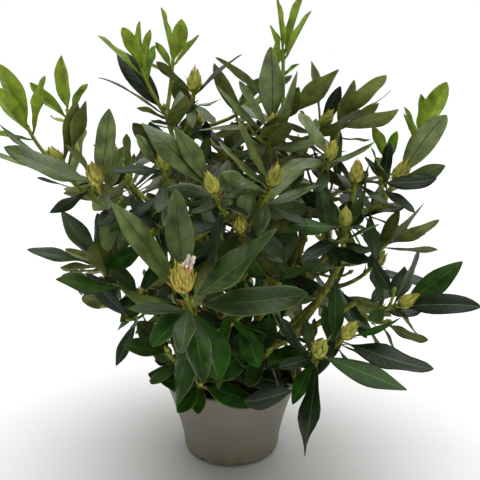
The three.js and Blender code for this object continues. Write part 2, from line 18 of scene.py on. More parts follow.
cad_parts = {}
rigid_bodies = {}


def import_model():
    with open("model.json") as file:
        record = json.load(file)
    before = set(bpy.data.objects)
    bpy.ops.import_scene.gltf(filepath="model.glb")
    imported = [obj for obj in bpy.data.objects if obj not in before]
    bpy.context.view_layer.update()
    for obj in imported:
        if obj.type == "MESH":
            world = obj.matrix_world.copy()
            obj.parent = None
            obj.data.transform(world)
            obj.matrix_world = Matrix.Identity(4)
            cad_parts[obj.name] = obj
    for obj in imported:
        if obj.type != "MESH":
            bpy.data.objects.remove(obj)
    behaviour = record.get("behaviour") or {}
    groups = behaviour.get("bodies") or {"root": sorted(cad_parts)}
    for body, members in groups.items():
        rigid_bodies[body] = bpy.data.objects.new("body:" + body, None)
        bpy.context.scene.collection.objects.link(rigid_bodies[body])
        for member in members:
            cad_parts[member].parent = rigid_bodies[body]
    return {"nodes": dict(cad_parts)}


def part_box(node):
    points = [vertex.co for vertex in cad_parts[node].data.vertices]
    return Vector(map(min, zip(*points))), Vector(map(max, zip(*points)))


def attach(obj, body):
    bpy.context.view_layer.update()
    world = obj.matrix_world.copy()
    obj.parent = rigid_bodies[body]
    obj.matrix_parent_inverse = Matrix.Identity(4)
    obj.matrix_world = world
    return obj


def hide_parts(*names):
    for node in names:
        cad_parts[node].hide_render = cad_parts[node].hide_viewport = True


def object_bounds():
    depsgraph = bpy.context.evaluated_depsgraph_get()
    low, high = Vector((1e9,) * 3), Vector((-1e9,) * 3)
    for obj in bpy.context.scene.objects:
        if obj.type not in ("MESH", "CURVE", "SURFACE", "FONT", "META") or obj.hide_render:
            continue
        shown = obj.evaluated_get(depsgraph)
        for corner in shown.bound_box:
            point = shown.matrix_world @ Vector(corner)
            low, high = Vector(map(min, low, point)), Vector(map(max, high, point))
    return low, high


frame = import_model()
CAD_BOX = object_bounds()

bl_info = {
    "name": "Potted Rhododendron",
    "version": (1, 0, 0),
    "blender": (4, 5, 0),
    "location": "3D View > Sidebar > Rhododendron",
    "description": "A young rhododendron in its nursery pot",
    "category": "Add Mesh",
}

MM = 0.001
FULL_TURN = 6.28
UP = Vector((0, 0, 1))

# ---- the pot and what fills it, in millimetres ----
POT_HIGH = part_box("pot")[1] / MM
POT_HEIGHT = POT_HIGH.z
POT_RIM_RADIUS = POT_HIGH.x
POT_FOOT_RADIUS = 56
POT_BASE_RADIUS = 61
POT_FOOT_HEIGHT = 8
POT_FLARE = 1.4
POT_WALL = 1.8
POT_FLOOR = 7
POT_SIDES = 96
POT_LIP = 1.6
# The rolled rim from below: how far behind the lip's reach, and how far below the pot's height.
LIP_OUTLINE = ((0.9, 4.2), (0, 3.4), (0, 1.2), (0.6, 0.3), (1.5, 0))
NOTCHES = 8
NOTCH_SIZE = (12, 7.6, 12.6)
NOTCH_ROUNDING = 1.6
NOTCH_TURN = 10
SOIL_LOW, SOIL_HIGH = (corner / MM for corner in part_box("root_ball"))
SOIL_TOP = SOIL_HIGH.z
SOIL_GAP = 0.6
SOIL_SIDES = 72
SOIL_RINGS = 15
SOIL_EDGE_DROP = 3
SOIL_LEVEL_TO = 24  # how far from the middle the soil starts to drop towards its edge
MOUND_HEIGHT = 2.5
MOUND_RADIUS = 26
CHIP_SHARE = 0.35
CHIP_SIZE = (2.2, 6.5)
CRUMB_SIZE = (1.0, 2.6)

# ---- the limbs, in millimetres and degrees, as in the CAD source but for a few turned leaves ----
CLEAR = 0.3
TRUNK_TOP = 160
TRUNK_RADIUS = 9
TRUNK_TIP_RADIUS = 7
TRUNK_FLARE = 6
BOUGH_BASE_RADIUS = 5.4
BOUGH_TIP_RADIUS = 3.8
TRUNK_BEND = (0.42, 0.3)  # where a bough off the trunk bends, as shares of its reach out and up
BOUGH_BEND = (0.55, 0.38)  # the same for a bough off another
STEM_LENGTH = 12
STEM_RADIUS = 3.7
TWIG_LIFT = 0.4  # how much of a whorl's aim is straight up
NEW_SUNK = 6
GOLDEN_ANGLE = 137.5
LEAF_SUNK = 1
WHORL_SPACING = 4
OLDER_LEAVES = 3
OLDER_BACK = 42
OLDER_SPACING = 10
OLDER_OPENING = 74
OLDER_STEP = 7
OLDER_SIZE = 0.9
STALK_SHARE = 0.24
OPENING_SPREAD = 12
LENGTH_SPREAD = (0.84, 1.1)
TWIST_SPREAD = 50
OUTER_OPENING = 46  # how much further a leaf opens on the outside of the crown
NUDGES = (0, 10, -10, 20, -20, 30, -30)

# Leaves and end bud of each kind of shoot: leaf length, half width as a share of it, opening in
# degrees from the twig to the youngest leaf and the step to each older one, the least angle between
# two leaves, and the end bud's radius and half length.
KINDS = {
    "bud": {"leaf": 86, "half": 0.152, "opening": 34, "step": 8, "clear": 36, "bud": (7.5, 15)},
    "old": {"leaf": 84, "half": 0.158, "opening": 36, "step": 8, "clear": 36, "bud": (3.2, 5)},
    "low": {"leaf": 64, "half": 0.225, "opening": 42, "step": 8, "clear": 40, "bud": (3.2, 5)},
    "broad": {"leaf": 66, "half": 0.3, "opening": 60, "step": 8, "clear": 40, "bud": (3.2, 5)},
    "new": {"leaf": 62, "half": 0.145, "opening": 18, "step": 9, "clear": 30, "bud": (2.4, 4)},
    "flower": {"leaf": 100, "half": 0.152, "opening": 34, "step": 8, "clear": 36, "bud": (13, 17)},
    "side": {"leaf": 62, "half": 0.16, "opening": 40, "step": 9, "clear": 44, "bud": (2.6, 4)},
    "inner": {"leaf": 72, "half": 0.16, "opening": 46, "step": 9, "clear": 42, "bud": (2.6, 4)},
}
FINE_KINDS = ("side", "inner")
# Kinds whose blade edges take the rim colour, a painted highlight of rolled margins catching the
# light.
RIM_HIGHLIGHTED = ("low", "broad", "flower")
TWIG_RADII = {"new": (2.7, 2.1), "side": (2.1, 1.6), "inner": (2.1, 1.6)}
MAIN_TWIG_RADII = (3.3, 2.4)


def shoot(kind, tip, leaves, turn, *hand_set):
    """A shoot's kind, its tip, its number of leaves, the turn of its spiral, and the leaves that
    are listed as (bearing, rise, length), then for some how far below the tip they start and
    how far they are rolled. Bearing 0 is +X and 90 is the back."""
    return {"kind": kind, "tip": tip, "leaves": leaves, "turn": turn, "hand_set": hand_set}


def limb(name, tip, parent, place, *shoots):
    """A limb's tip, what it springs from and where, and its shoots. On the trunk the place is a
    height, and on another limb it is a share of that limb's length."""
    return {"name": name, "tip": tip, "parent": parent, "place": place, "shoots": shoots}


FRONT_LIMBS = [
    limb("front", (-30, -112, 205), "trunk", 122,
         shoot("flower", (-42, -172, 262), 7, 60, (120, 80, 105), (185, 55, 120), (0, 40, 115),
               (0, 5, 120), (-90, -15, 75), (-75, -35, 85), (-155, 10, 65)),
         shoot("old", (3, -128, 232), 5, 40, (-105, -35, 60), (-50, -30, 45)),
         shoot("broad", (-37, -150, 245), 2, 60, (-105, -25, 65), (-75, -45, 80))),
    limb("front_right", (78, -95, 160), "trunk", 104,
         shoot("bud", (123, -120, 197), 6, 0, (-10, 25, 65), (-20, -10, 100), (-20, -20, 80),
               (-55, -25, 45), (80, 75, 70), (110, 70, 50)),
         shoot("bud", (92, -142, 188), 6, 60, (-105, -50, 105, 4, -60), (-30, -10, 98, 4, 10),
               (-140, 5, 55), (-135, -50, 55), (120, 65, 45))),
    limb("front_left", (-32, -95, 138), "trunk", 101,
         shoot("low", (-31, -136, 148), 7, 0, (-10, -15, 65), (10, 15, 65), (-155, 20, 50),
               (-125, -25, 42), (-90, -40, 36), (60, 25, 50)),
         shoot("low", (-66, -122, 180), 6, 90, (-175, 15, 52), (175, 30, 55), (165, 45, 60),
               (-115, -5, 50), (-50, 65, 50))),
    limb("front_low", (22, -92, 150), "front_right", 0.35,
         shoot("low", (42, -110, 174), 6, 0, (-65, -40, 45), (-115, -15, 50), (5, 20, 45),
               (-140, 30, 48), (-10, -5, 55))),
    limb("left_far", (-125, -20, 300), "trunk", 134,
         shoot("bud", (-195, -25, 367), 6, 20, (15, 75, 80), (-160, 40, 90, 8, 20),
               (-160, 20, 90, 12, 25), (-140, 25, 70, 50), (40, 70, 88, 12)),
         shoot("new", (-233, -12, 409), 4, 0, (-150, 70, 80, 4, 35), (-130, 50, 72), (15, 75, 72)),
         shoot("bud", (-145, -65, 354), 6, 60, (-165, 25, 105), (20, 80, 88), (180, 85, 88),
               (-70, -15, 45), (15, 65, 60)),
         shoot("new", (-201, 45, 424), 4, 90, (115, 75, 75), (40, 55, 50), (-145, 45, 65))),
    limb("left_mid", (-112, -28, 212), "left_far", 0.38,
         shoot("bud", (-158, -30, 251), 7, 150, (-160, 20, 85), (-135, 5, 50), (185, 60, 88),
               (-70, 5, 50)),
         shoot("old", (-101, -64, 228), 6, 30, (-140, 20, 108, 4, -45), (-95, -10, 55), (150, 30, 55),
               (50, 40, 50))),
    limb("top_left", (-55, 35, 350), "trunk", 150,
         shoot("old", (-80, 35, 427), 7, 10, (160, 50, 100, 4, 30), (-175, 30, 93, 8, -35),
               (-145, 20, 45), (-130, 10, 30), (15, 40, 50)),
         shoot("new", (-108, 40, 479), 5, 30, (-115, 50, 60), (160, 88, 60), (-10, 80, 55),
               (-165, 42, 74)),
         shoot("new", (-72, 66, 489), 5, 80, (130, 70, 70), (-60, 60, 60), (-5, 55, 54),
               (-165, 60, 40)),
         shoot("bud", (-46, 55, 450), 5, 120, (-165, 40, 60), (5, 40, 80, 8, -40), (-115, -40, 50),
               (-55, -25, 55), (45, 10, 50))),
    limb("upper_left", (-66, -22, 300), "top_left", 0.42,
         shoot("bud", (-73, -45, 367), 7, 200, (-140, 5, 70), (175, 55, 55), (170, 75, 65),
               (-95, -30, 55), (-50, -10, 45)),
         shoot("bud", (-121, -8, 350), 6, 100, (145, 45, 65), (120, 80, 60), (-115, -10, 50)),
         shoot("old", (-86, -62, 298), 5, 70, (-140, 15, 60), (145, 40, 55))),
    limb("top_centre", (42, 30, 345), "trunk", 136,
         shoot("bud", (48, 0, 404), 8, 75, (-105, 85, 100), (180, 60, 76), (180, 45, 90),
               (-10, 70, 90), (-125, -15, 45), (-15, 10, 60)),
         shoot("old", (66, 58, 425), 5, 30, (180, 35, 115, 8, 5)),
         shoot("new", (64, 60, 495), 4, 10, (-125, 75, 72, 4, 50), (25, 70, 85, 8, 15), (-20, 60, 70),
               (-170, 70, 52)),
         shoot("bud", (115, 60, 407), 7, 140, (125, 75, 86), (30, 60, 64), (-130, 35, 50),
               (5, 20, 60))),
    limb("upper_front", (14, -55, 285), "front", 0.4,
         shoot("bud", (45, -85, 355), 8, 30, (135, 55, 86), (155, 40, 80), (-150, 25, 64),
               (-155, 10, 56), (-100, -30, 60), (-45, -15, 63), (0, 20, 65)),
         shoot("bud", (11, -100, 311), 6, 150, (70, 55, 50), (155, 35, 45), (-35, -25, 60),
               (35, -10, 40), (-135, -25, 45)),
         shoot("old", (50, -92, 248), 5, 20, (-10, 20, 62), (40, 45, 60), (-130, 35, 50),
               (-20, -25, 52)),
         shoot("bud", (-16, -115, 354), 7, 40, (-170, 45, 102), (-175, 55, 82), (180, 10, 54),
               (0, 40, 50), (-145, -10, 36), (-60, 20, 40))),
    limb("right_far", (148, 10, 290), "trunk", 130,
         shoot("bud", (193, -20, 350), 6, 30, (-40, 55, 98), (-35, 25, 66, 8, -75), (150, 45, 50),
               (-65, -20, 50)),
         shoot("new", (233, 36, 392), 4, 60, (-55, 65, 80), (130, 88, 62), (-160, 60, 48)),
         shoot("bud", (176, 0, 316), 6, 0, (145, 35, 66), (-150, 5, 56), (-45, 15, 45),
               (10, 65, 64)),
         shoot("new", (195, 40, 366), 3, 0, (-140, 55, 60), (35, 70, 46), (-120, 25, 44)),
         shoot("old", (112, -22, 318), 5, 50, (130, 20, 50), (-165, 0, 50))),
    limb("top_right", (102, 15, 325), "right_far", 0.45,
         shoot("old", (136, 42, 417), 7, 10, (-50, 40, 86), (20, 30, 82), (-35, 10, 96),
               (-25, 35, 60), (-10, 75, 68), (-50, 0, 54)),
         shoot("bud", (112, -40, 380), 5, 100, (145, 50, 65), (-140, -5, 63), (5, 25, 60),
               (-25, 0, 60), (-110, -30, 45))),
    limb("right_low", (140, -35, 200), "trunk", 112,
         shoot("bud", (197, -60, 212), 7, 40, (-10, 40, 88), (-30, 10, 96, 8, -45), (20, 65, 74),
               (-10, 20, 42), (-125, 0, 48), (95, 35, 60)),
         shoot("old", (190, -20, 175), 5, 100, (-45, -5, 62), (-70, -35, 55))),
    limb("right_mid", (120, -58, 250), "right_low", 0.5,
         shoot("bud", (123, -92, 314), 7, 200, (-165, 5, 67), (-140, -10, 66, 24),
               (-65, 0, 50, 24), (150, 60, 58), (10, 65, 54), (-40, 30, 50)),
         shoot("bud", (140, -50, 354), 4, 100, (-45, -20, 50), (115, 40, 48), (-135, 0, 44)),
         shoot("old", (187, -14, 273), 7, 0, (-15, 30, 70), (-10, 0, 64), (0, 50, 72, 8, -60),
               (-120, -15, 40), (5, 65, 58), (-160, 50, 50))),
]
BACK_BEARINGS = (18, 54, 90, 126, 162)
BACK_FEET = (99, 116, 105, 118, 108)

# ---- what the rule is carried on to here, in millimetres and degrees ----
SIDE_PLACES = (0.38, 0.66)  # where side twigs spring, as shares of their twig
SIDE_LEAVES = 5
SIDE_OPENING = 58
SIDE_REACH = 34
SIDE_TURN = 60
SIDE_OUTWARDS = 0.3  # the most that a side twig may point out of the crown
INNER_PLACES = (0.5, 0.72, 0.92)  # where inner twigs spring, as shares of their bough
INNER_LEAVES = 5
INNER_OPENING = 62
INNER_REACH = 44
INNER_LOWEST = 128
INNER_FOOT = 0.3  # the share of an inner twig that may touch the wood it springs from
FINE_REACHES = (0.8, 1.2)  # what the reach of side and inner twigs is drawn from
FINE_LIFT = 0.15
BOX_LEEWAY = 8  # how far a leaf's edge may stand out of the source's box
# Where the sky shows through from the front, and two spots before buds that leaves would hide:
# across, up and radius, at the trunk's distance.
OPENINGS = (
    (-195, 285, 22), (-200, 185, 15), (-185, 135, 40), (-160, 170, 16), (-120, 225, 15),
    (-125, 400, 10), (-15, 425, 15), (145, 445, 10), (195, 415, 10), (100, 270, 15),
    (155, 220, 20), (190, 250, 10), (195, 155, 15), (-130, 70, 30), (130, 60, 35),
    (150, 375, 12), (-155, 370, 12),
)
LEAF_ROWS = (0, 0.13, 0.17, 0.22, 0.29, 0.37, 0.46, 0.55, 0.64, 0.73, 0.82, 0.9, 0.96, 0.99, 1)
LEAF_COLUMNS = (-1, -0.92, -0.5, -0.045, 0.045, 0.5, 0.92, 1)  # rim to rim, midrib between
# What each leaf draws its shape from, as shares of its length or half width, or in degrees: how far
# it sags, hooks at the tip, bends sideways, turns about its length, folds up along the midrib, rolls
# down at the rims and waves.
LEAF_DROOP = (-0.18, 0.2)
LEAF_HOOK = (-0.12, 0.1)
LEAF_BEND = (-0.08, 0.08)
LEAF_TURN = (-40, 40)
LEAF_FOLD = (0.02, 0.46)
LEAF_ROLL = (0.1, 0.34)
LEAF_WAVE = (0.04, 0.26)
LEAF_WAVES = 1.6
LEAF_WIDTH = (0.9, 1.15)
YOUNG_DROOP = -0.05
YOUNG_FOLD = (0.35, 0.7)
YOUNG_WAVES = 2.4
LEAF_STALK = 0.13  # share of a leaf that is its stalk
LEAF_FULLEST = 0.3087  # what the outline's product comes to where a leaf is widest
STALK_RADIUS = 1.0
BLADE_HALF_THICK = 0.22
MIDRIB_GROOVE = 0.25
MIDRIB_RIDGE = 0.7
TWIG_SIDES = 8
TWIG_STEPS = 6
BARK_VOXEL = 1.5
BARK_RELIEF = 0.9


def linear(red, green, blue):
    """A screen colour from 0 to 255 as linear light."""
    def channel(value):
        value /= 255
        return value / 12.92 if value <= 0.04045 else ((value + 0.055) / 1.055) ** 2.4
    return channel(red), channel(green), channel(blue)


# ---- what a user would change ----

def distance(name, description, default):
    return FloatProperty(name=name, description=description, default=default, min=0,
                         subtype="DISTANCE", unit="LENGTH", precision=4)


def colour(name, description, red, green, blue):
    return FloatVectorProperty(name=name, description=description, size=3, min=0, max=1,
                               subtype="COLOR", default=linear(red, green, blue))


def share(name, description, default):
    return FloatProperty(name=name, description=description, default=default, min=0, max=1,
                         subtype="FACTOR")


class PotSettings(bpy.types.PropertyGroup):
    rim_radius: distance("Rim radius", "Radius of the wall at the rim", POT_RIM_RADIUS * MM)
    height: distance("Height", "Height of the pot", POT_HEIGHT * MM)
    lip: distance("Lip", "How far the rolled rim stands out of the wall", POT_LIP * MM)
    plastic: colour("Plastic", "Colour of the moulded plastic", 136, 131, 119)
    # Paler than the plastic: splashed dirt near the foot, also painted light over the foot's shade.
    grime_and_painted_light: colour("Grime", "Colour of the splashed soil and algae near the foot", 150, 144, 108)
    soil: colour("Soil", "Colour of the moist bark compost", 44, 32, 22)
    chip: colour("Bark chips", "Colour of the larger chips on the soil", 92, 62, 38)
    crumbs: IntProperty(name="Crumbs", description="Number of crumbs and chips on the soil",
                        default=900, min=0, max=3000)


class WoodSettings(bpy.types.PropertyGroup):
    bark: colour("Bark", "Colour of the old bark", 150, 152, 66)
    bark_cracks: colour("Bark cracks", "Colour in the furrows of the bark", 106, 98, 42)
    relief: distance("Bark relief", "Depth of the furrows in the bark", BARK_RELIEF * MM)
    olive: colour("Olive twigs", "Colour of last year's twigs", 118, 124, 48)
    green: colour("Green twigs", "Colour of this year's twigs", 142, 156, 48)


class LeafSettings(bpy.types.PropertyGroup):
    # The darkest green: drawn at random for some leaves, and for more of those on twigs inside the
    # crown, as painted shade.
    deep_and_shade: colour("Deep", "Upper side of the darkest leaves", 18, 37, 5)
    dark: colour("Dark", "Upper side of the dark leaves", 43, 66, 13)
    # The greenest tint goes to low and hanging leaves as painted shade.
    fresh_and_shade: colour("Fresh", "Upper side of the greenest leaves", 34, 76, 4)
    # A dull green that goes to high and standing leaves as painted sheen.
    grey_and_sheen: colour("Grey", "Upper side of the dullest leaves", 106, 122, 60)
    olive: colour("Olive", "Upper side of the oldest leaves", 84, 98, 28)
    under: colour("Underside", "Underside of the leaves", 92, 104, 34)
    pale_under: colour("Pale underside", "Underside of the youngest mature leaves", 118, 130, 54)
    midrib: colour("Midrib", "Midrib on the upper side", 70, 92, 38)
    # The rim colour is a painted highlight along the blade's edge.
    rim: colour("Rim", "Thin pale edge of the blade", 84, 106, 44)
    stalk: colour("Stalk", "Stalk, and midrib on the underside", 124, 136, 56)
    new: colour("New growth", "Upper side of new leaves", 74, 128, 0)
    bright_new: colour("Bright new growth", "Upper side of the youngest leaves", 118, 152, 4)
    new_under: colour("Underside of new growth", "Underside of new leaves", 142, 164, 46)
    roughness: share("Roughness", "How dull the leaves are", 0.45)


class BudSettings(bpy.types.PropertyGroup):
    scale: colour("Scales", "Colour of the bud scales", 194, 192, 82)
    green_scale: colour("Green scales", "Colour of the greener buds", 164, 176, 72)
    tip: colour("Scale tips", "Colour of the scales' drying tips", 172, 152, 68)
    opening: colour("Opening scales", "Colour of the scales of the opening bud", 200, 180, 84)
    petal: colour("Petals", "Colour of the opening petals", 250, 194, 140)
    pale_petal: colour("Petal edges", "Colour of the petals' edges", 252, 242, 230)
    dry: colour("Dry scales", "Colour of old dry scales under the whorls", 158, 118, 60)
    bract: colour("Bracts", "Colour of the narrow bracts round the buds", 138, 150, 76)


class StageSettings(bpy.types.PropertyGroup):
    floor: colour("Floor", "Colour of the floor", 240, 240, 240)
    key: FloatProperty(name="Key light", description="Strength of the soft light overhead",
                       default=3.5, min=0)
    surround: share("Surround", "How much light comes from all round", 0.24)


def settings():
    return bpy.context.scene.rhododendron


# ---- growth ----

class Path:
    """The middle line of a limb or twig, a quadratic Bezier curve in millimetres."""

    def __init__(self, start, tip, bend=None):
        self.start = start
        self.tip = tip
        self.bend = (start + tip) / 2 if bend is None else bend

    def point(self, place):
        rest = 1 - place
        return self.start * rest ** 2 + self.bend * (2 * rest * place) + self.tip * place ** 2

    def along(self, place):
        slope = (self.bend - self.start) * (1 - place) + (self.tip - self.bend) * place
        return slope.normalized()


def mix(low, high, place):
    return low + (high - low) * place


def chance(shoot_number, leaf_number, question):
    """The same number from 0 to 1 each time for one shoot, leaf and question. Each draw has a
    question number of its own."""
    wave = math.sin(shoot_number * 127.1 + leaf_number * 311.7 + question * 74.7) * 43758.5453
    return wave - math.floor(wave)


def around(bearing, out, height):
    """A point out from the plant's middle on a bearing, at a height."""
    angle = math.radians(bearing)
    return out * math.cos(angle), out * math.sin(angle), height


def heading(bearing, rise):
    """A direction from a bearing and a rise."""
    slope = math.radians(rise)
    return Vector(around(bearing, math.cos(slope), math.sin(slope)))


def back_limbs():
    """The back of the crown: a low limb on each bearing, and a high one on all but the first."""
    limbs = []
    for index, bearing in enumerate(BACK_BEARINGS):
        odd = index % 2
        low = f"back_low_{index + 1}"
        limbs.append(limb(
            low, around(bearing, 125, 190 + 8 * odd), "trunk", BACK_FEET[index],
            shoot("bud", around(bearing - 10, 180, 232 + 10 * odd), 6, 70 * index),
            shoot("old", around(bearing + 10, 165, 180 - 8 * odd), 6, 110 + 50 * index)))
        if index > 0:
            shoots = [shoot("bud", around(bearing - 20, 182, 322), 6, 40 * index),
                      shoot("bud", around(bearing, 150, 362), 6, 40 + 60 * index)]
            if not odd:
                shoots.append(shoot("new", around(bearing + 4, 168, 372), 4, 30 * index))
            limbs.append(limb(f"back_high_{index + 1}", around(bearing - 6, 108, 285), low, 0.45,
                              *shoots))
    limbs.append(limb("back_top", (5, 95, 345), "top_centre", 0.4,
                      shoot("bud", (15, 112, 420), 8, 0),
                      shoot("bud", (-45, 125, 405), 7, 100),
                      shoot("new", (50, 125, 455), 4, 30),
                      shoot("old", (-12, 62, 372), 5, 60)))
    return limbs


LIMBS = FRONT_LIMBS + back_limbs()
LIMB_BY_NAME = {spec["name"]: spec for spec in LIMBS}
BOUGH_NODES = ["bough_" + spec["name"] for spec in LIMBS]
MASS_NODES = ["leaves_" + spec["name"] for spec in LIMBS]


def bough_path(spec):
    """A bough leaves its parent outwards and then bends up to its tip."""
    on_trunk = spec["parent"] == "trunk"
    if on_trunk:
        start = Vector((0, 0, spec["place"]))
    else:
        start = bough_path(LIMB_BY_NAME[spec["parent"]]).point(spec["place"])
    tip = Vector(spec["tip"])
    outward, upward = TRUNK_BEND if on_trunk else BOUGH_BEND
    reach = tip - start
    bend = start + Vector((reach.x * outward, reach.y * outward, reach.z * upward))
    return Path(start, tip, bend)


class Twig:
    """A shoot's twig: where it runs, which way its whorl looks, and the row it grows from."""

    def __init__(self, row, number, start, mass):
        self.row = row
        self.kind = row["kind"]
        self.number = number
        self.mass = mass
        self.tip = Vector(row["tip"])
        reach = self.tip - start
        self.reach = reach.length
        self.aim = (reach.normalized() * (1 - TWIG_LIFT) + UP * TWIG_LIFT).normalized()
        self.path = Path(start, self.tip, self.tip - self.aim * (0.5 * self.reach))
        self.leaves = []

    def radii(self):
        return TWIG_RADII.get(self.kind, MAIN_TWIG_RADII)


def mass_twigs(spec, first_number):
    """The stem and twigs of a mass: new growth starts in the whorl before it."""
    bough = bough_path(spec)
    along = bough.along(1)
    root = bough.point(1) + along * CLEAR
    fork = root + along * STEM_LENGTH
    whorl = None
    twigs = []
    for index, row in enumerate(spec["shoots"]):
        is_new = row["kind"] == "new" and whorl
        start = whorl.tip - whorl.aim * NEW_SUNK if is_new else fork
        twig = Twig(row, first_number + index, start, spec["name"])
        if row["kind"] != "new":
            whorl = twig
        twigs.append(twig)
    return Path(root, fork), twigs


def leaf_plan(twig):
    """Each leaf's direction, length, distance below the tip and roll: those listed, then a
    spiral that fills the room they leave, then the older leaves further down the twig."""
    kind = KINDS[twig.kind]
    side = Vector((0, 1, 0)).cross(twig.aim).normalized()
    face = side.cross(twig.aim)
    outwards = Vector((twig.tip.x, twig.tip.y, 0)).normalized()

    def spiral(index, opening):
        angle = math.radians(twig.row["turn"] + GOLDEN_ANGLE * index)
        out = side * math.cos(angle) + face * math.sin(angle)
        opening = math.radians(opening + OUTER_OPENING * max(0, out.dot(outwards)))
        return twig.aim * math.cos(opening) + out * math.sin(opening)

    count = twig.row["leaves"]
    plan = []
    for index, (bearing, rise, length, *more) in enumerate(twig.row["hand_set"]):
        back, roll = more + [WHORL_SPACING * (index + 1), 0][len(more):]
        plan.append((heading(bearing, rise), length, back, roll))
    for index in range(5 * count):
        if len(plan) >= count:
            break
        opening = kind["opening"] + kind["step"] * (index % count)
        direction = spiral(index, opening + OPENING_SPREAD * (chance(twig.number, index, 1) - 0.5))
        least = math.radians(kind["clear"])
        if all(row[0].angle(direction) > least for row in plan):
            length = kind["leaf"] * mix(*LENGTH_SPREAD, chance(twig.number, index, 3))
            plan.append((direction, length, WHORL_SPACING * (len(plan) + 1), 0))
    if twig.kind != "new":
        for index in range(OLDER_LEAVES):
            back = OLDER_BACK + OLDER_SPACING * index
            if back > twig.reach - WHORL_SPACING:
                break
            direction = spiral(count + 2 * index, OLDER_OPENING + OLDER_STEP * index)
            plan.append((direction, OLDER_SIZE * kind["leaf"], back, 0))
    return plan


class Leaf:
    """A leaf's middle line and the way it faces: the upper side looks to the twig's tip, and the
    leaf sags or curls up, new growth only a little. Its tip is where its direction and length say."""

    def __init__(self, twig, direction, length, back, roll, index):
        self.twig = twig
        self.index = index
        self.length = length
        self.is_older = index >= twig.row["leaves"]
        self.is_young = twig.kind == "new"
        self.droop = YOUNG_DROOP if self.is_young else mix(*LEAF_DROOP, self.chance(2))
        self.start = direction + UP * self.droop
        along = self.start.normalized()
        face = twig.aim - along * twig.aim.dot(along)
        if face.length < 0.2:
            face = Vector((0, -1, 0)) + along * along.y
        face.normalize()
        twist = math.radians(TWIST_SPREAD * (self.chance(4) - 0.5) + roll)
        level = along.cross(face)
        self.across = level * math.cos(twist) + face * math.sin(twist)
        place = max(0, 1 - back / twig.reach)
        self.root = twig.path.point(place) - along * LEAF_SUNK
        self.half = length * KINDS[twig.kind]["half"] * mix(*LEAF_WIDTH, self.chance(5))

    def chance(self, question):
        return chance(self.twig.number, self.index, question)

    def points(self, across, place, side):
        """Points of the leaf in millimetres: across is -1 to 1 from rim to rim, place 0 to 1 from
        root to tip, and side 1 on top, -1 underneath and 0 on the rim."""
        root, start, level, up = (np.array(v) for v in (self.root, self.start, self.across, UP))
        column = place[:, None]
        hook = mix(*LEAF_HOOK, self.chance(10))
        sag = self.droop * column ** 2 + hook * (column ** 4 - column ** 2)
        line = root + self.length * (start * column - up * sag)
        slope = start - up * (2 * self.droop * column + hook * (4 * column ** 3 - 2 * column))
        over = np.cross(level, slope)
        over /= np.linalg.norm(over, axis=1)[:, None]
        turn = math.radians(mix(*LEAF_TURN, self.chance(11))) * column ** 1.5
        turned_level = level * np.cos(turn) + over * np.sin(turn)
        turned_over = over * np.cos(turn) - level * np.sin(turn)

        blade = np.clip((place - LEAF_STALK) / (1 - LEAF_STALK), 0, 1)
        outline = blade ** 0.9 * (1 - blade) ** 0.8 / LEAF_FULLEST
        least = np.interp(blade, [0, 0.3, 1], [STALK_RADIUS, 0.9, 0.2])
        half = np.maximum(self.half * outline, least)
        fold = mix(*(YOUNG_FOLD if self.is_young else LEAF_FOLD), self.chance(6))
        roll = 0.0 if self.is_young else mix(*LEAF_ROLL, self.chance(12))
        waves = YOUNG_WAVES if self.is_young else LEAF_WAVES
        wave = np.sin(2 * math.pi * (waves * place + 0.25 * np.sign(across) + self.chance(8)))
        wave *= mix(*LEAF_WAVE, self.chance(7))
        height = half * (fold * np.abs(across) + (wave - roll) * across ** 2)
        thick = np.interp(place, [0, LEAF_STALK, LEAF_STALK + 0.1], [1.1, 0.9, BLADE_HALF_THICK])
        height += side * thick
        on_midrib = (np.abs(across) < LEAF_COLUMNS[4] + 0.01) & (place > LEAF_STALK) & (place < 1)
        depth = np.where(side > 0, MIDRIB_GROOVE, np.where(side < 0, MIDRIB_RIDGE, 0))
        height -= on_midrib * depth * (1 - place) ** 0.6
        bend = mix(*LEAF_BEND, self.chance(9)) * self.length * (place ** 2 - place)
        sideways = across * half + bend
        return line + turned_level * sideways[:, None] + turned_over * height[:, None]


class Template:
    """A small mesh in its own measures: named numbers for each point, and faces of four corners."""

    def __init__(self, faces, **measures):
        self.faces = np.array(faces)
        self.measures = {name: np.array(values, dtype=float) for name, values in measures.items()}

    def face_mean(self, name):
        return self.measures[name][self.faces].mean(axis=1)


def sheet_template(columns, rows, closed=True):
    """A sheet from -1 to 1 across and 0 to 1 along. A closed one has a second sheet underneath
    that shares its rim."""
    across, place, side, faces = [], [], [], []
    numbers = {}

    def corner(row, column, layer):
        on_rim = row in (0, len(rows) - 1) or column in (0, len(columns) - 1)
        key = (row, column, 0 if on_rim else layer)
        if key not in numbers:
            numbers[key] = len(across)
            across.append(columns[column])
            place.append(rows[row])
            side.append(key[2])
        return numbers[key]

    for layer in ((1, -1) if closed else (0,)):
        for row in range(len(rows)):
            for column in range(len(columns)):
                corner(row, column, layer)
        for row in range(len(rows) - 1):
            for column in range(len(columns) - 1):
                steps = (0, 0), (0, 1), (1, 1), (1, 0)
                face = [corner(row + up, column + along, layer) for up, along in steps]
                faces.append(face if layer >= 0 else face[:1] + face[:0:-1])
    return Template(faces, across=across, place=place, side=side)


